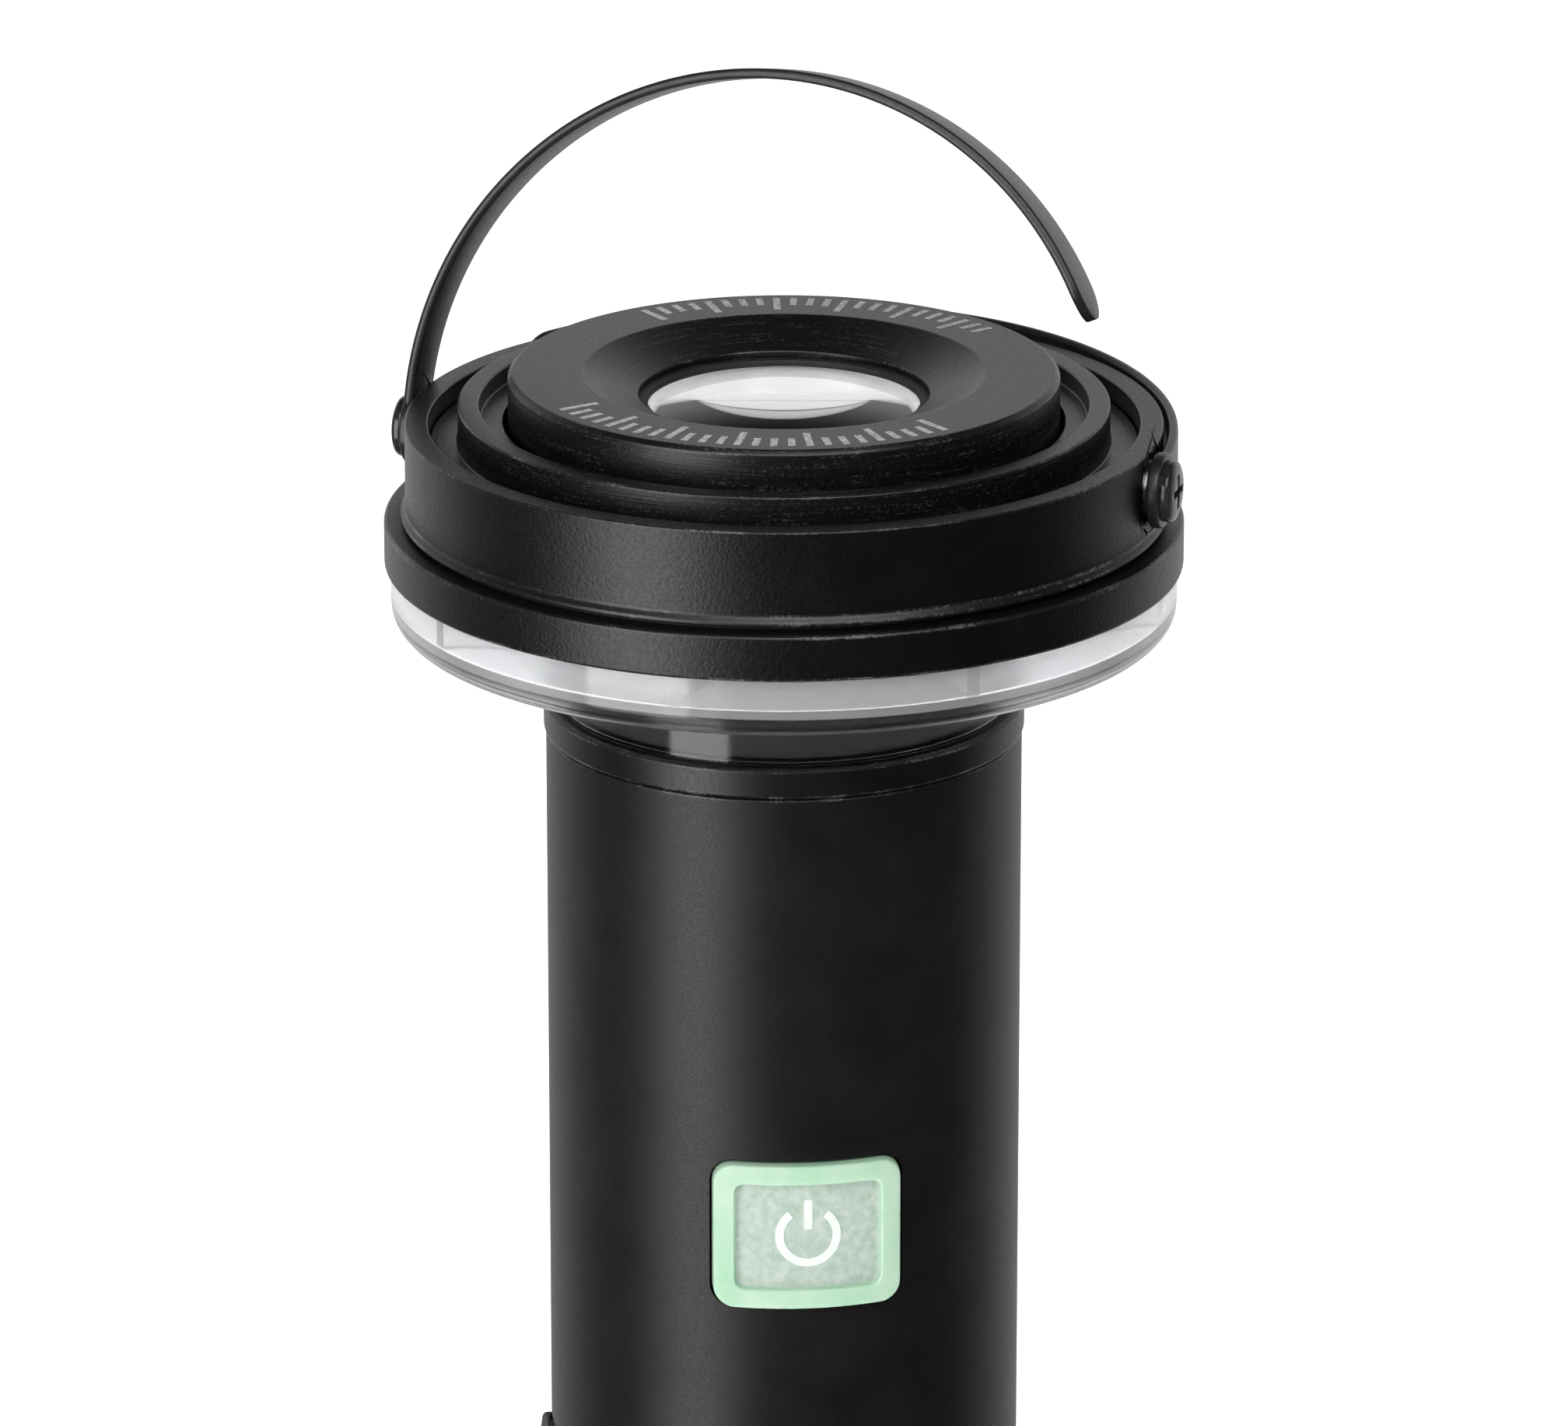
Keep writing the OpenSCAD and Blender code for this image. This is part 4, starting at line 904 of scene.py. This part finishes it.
# ---- Base pad ----
# A round rubber pad glued in the cap's recess, with two grooves moulded in its rest face.
pad = turned("base_pad_disc", [
    (13, 0), (13, 0.4), (14, 0.4), (14, 0), (16, 0), (16, 0.4), (17, 0.4), (17, 0), (20, 0), (20, 1.6),
    (0, 1.6)], sides=160)
closed(pad, pole=True)
softened(pad, 0.12)
finished(pad, black_rubber, "lantern", "black_rubber", "base_pad")

# ---- Port cover, anchor and strap ----
# A rubber cover pressed into the charging port. A thin strap, which on the lantern bends when the
# cover is opened, joins it to an anchor plugged into the tube; here it is only cut across into rows.
cover_top, flap_w, flap_h, flap_in, flap_out = 90.9, 13.0, 18.1, 21.1, 22.25
flap = curved_plate("port_cover_flap", flap_w, flap_h, 2.6, flap_in, flap_out)
wedge = box("flap_wedge", 20, 4, 8)
cut(flap, moved(wedge, Matrix.Translation((0, -(flap_in + 0.2) * MM, (flap_h / 2) * MM))
                @ Matrix.Rotation(radians(-13), 4, "X") @ Matrix.Translation((0, -2 * MM, -2 * MM))))
moulded(flap, 0.14, 6)
moved(flap, facing_port(Matrix.Translation((0, 0, (cover_top - flap_h / 2) * MM))))
finished(flap, black_rubber, "port_flap", "black_rubber", "port_cover")
tab = curved_plate("port_cover_tab", 5.0, 1.2, 0.5, flap_out - 0.4, flap_out + 0.5)
moulded(tab, 0.1, 4)
moved(tab, facing_port(Matrix.Translation((0, 0, (cover_top - 5.2) * MM))))
finished(tab, black_rubber, "port_flap", "black_rubber")
plug = curved_plate("port_cover_plug", 6.8, 12.6, 0.9, 19.9, flap_in + 0.3)
cut(plug, curved_plate("plug_bore", 5.0, 10.8, 0.6, 18.5, flap_in - 0.2))
moulded(plug, 0.14, 3)
moved(plug, facing_port(Matrix.Translation((0, 0, socket_z * MM))))
finished(plug, black_rubber, "port_flap", "black_rubber")
anchor = curved_plate("port_anchor_pad", 9.0, 3.4, 1.2, flap_in, flap_out)
moulded(anchor, 0.14, 5)
moved(anchor, facing_port(Matrix.Translation((0, 0, 70.8 * MM))))
finished(anchor, black_rubber, "lantern", "black_rubber", "port_anchor")
strap = curved_plate("port_strap", 6.6, 4.6, 0.3, flap_in + 0.15, flap_in + 0.85)
select_only(strap)
bpy.ops.object.mode_set(mode="EDIT")
for i in range(-7, 8):
    bpy.ops.mesh.select_all(action="SELECT")
    bpy.ops.mesh.bisect(plane_co=(0, 0, i * 0.28 * MM), plane_no=(0, 0, 1))
bpy.ops.object.mode_set(mode="OBJECT")
bpy.ops.object.shade_smooth_by_angle(angle=radians(35))
moved(strap, facing_port(Matrix.Translation((0, 0, 72.65 * MM))))
strap.data.materials.append(black_rubber)
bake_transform(strap)

# ---- Inner pieces and small parts ----
# What the lantern holds inside, from the cells to the boards. They keep their shapes and get the
# finish of each real material.


def plain(name, first, second, dull, metal=0.0, size=0.6, depth=0.01, coat=0.0):
    """A finish with soft colour variation and a fine relief, its grain size and depth in mm."""
    material, tree, shader = new_material(name)
    grain = noise(tree, 1 / (size * MM), detail=3)
    tree.links.new(blend_colours(tree, grain, first, second), shader.inputs["Base Color"])
    tree.links.new(between(tree, grain, max(0.02, dull - 0.08), dull + 0.08), shader.inputs["Roughness"])
    shader.inputs["Metallic"].default_value = metal
    shader.inputs["Coat Weight"].default_value = coat
    bump(tree, shader, grain, depth)
    return material


finishes = {
    "black_rubber": black_rubber,
    "screw_steel": plain("zinc_steel", (0.5, 0.5, 0.5), (0.68, 0.68, 0.7), 0.3, metal=1),
    "black_plastic": plain("moulded_black", (0.012, 0.012, 0.012), (0.03, 0.03, 0.03), 0.5),
    "pale_plastic": plain("moulded_pale", (0.66, 0.66, 0.62), (0.78, 0.78, 0.74), 0.5),
    "board_green": plain("green_mask", (0.02, 0.13, 0.06), (0.03, 0.2, 0.09), 0.3, size=1.5, coat=0.4),
    "board_white": plain("white_mask", (0.78, 0.78, 0.76), (0.88, 0.88, 0.86), 0.35, size=1.5, coat=0.3),
    "led_yellow": plain("phosphor_yellow", (0.85, 0.72, 0.22), (0.95, 0.82, 0.35), 0.3),
    "led_amber": plain("phosphor_amber", (0.8, 0.35, 0.05), (0.95, 0.5, 0.1), 0.3),
    "led_green": plain("led_pale_green", (0.5, 0.85, 0.6), (0.6, 0.95, 0.7), 0.25),
    "chip_black": plain("chip_epoxy", (0.02, 0.02, 0.02), (0.04, 0.04, 0.04), 0.45, size=0.3),
    "part_tan": plain("ceramic_tan", (0.45, 0.33, 0.2), (0.62, 0.48, 0.3), 0.4, size=0.3),
    "pin_brass": plain("plated_brass", (0.6, 0.45, 0.18), (0.8, 0.62, 0.28), 0.22, metal=1),
    "socket_steel": plain("socket_plate", (0.5, 0.5, 0.52), (0.66, 0.66, 0.68), 0.28, metal=1),
    "lead_red": plain("red_insulation", (0.45, 0.03, 0.02), (0.6, 0.05, 0.03), 0.4),
    "lead_black": plain("black_insulation", (0.015, 0.015, 0.015), (0.03, 0.03, 0.03), 0.4),
    "cell_sleeve": plain("cell_sleeve_film", (0.04, 0.15, 0.38), (0.07, 0.22, 0.5), 0.3, size=4, coat=0.3),
    "tab_nickel": plain("nickel_strip", (0.5, 0.48, 0.45), (0.7, 0.68, 0.64), 0.35, metal=1),
    "foam_grey": plain("grey_foam", (0.12, 0.12, 0.12), (0.24, 0.24, 0.24), 0.85, size=0.4, depth=0.08),
    "magnet_nickel": plain("magnet_plate", (0.55, 0.55, 0.55), (0.7, 0.7, 0.7), 0.18, metal=1),
}
slots = {row["node"]: row["material_slot"] for row in frame["record"]["subparts"]}
for node, piece in frame["nodes"].items():
    if piece.hide_render:
        continue
    piece.data.materials.clear()
    piece.data.materials.append(finishes[slots[node]])

# ---- Sizes ----
low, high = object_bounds()
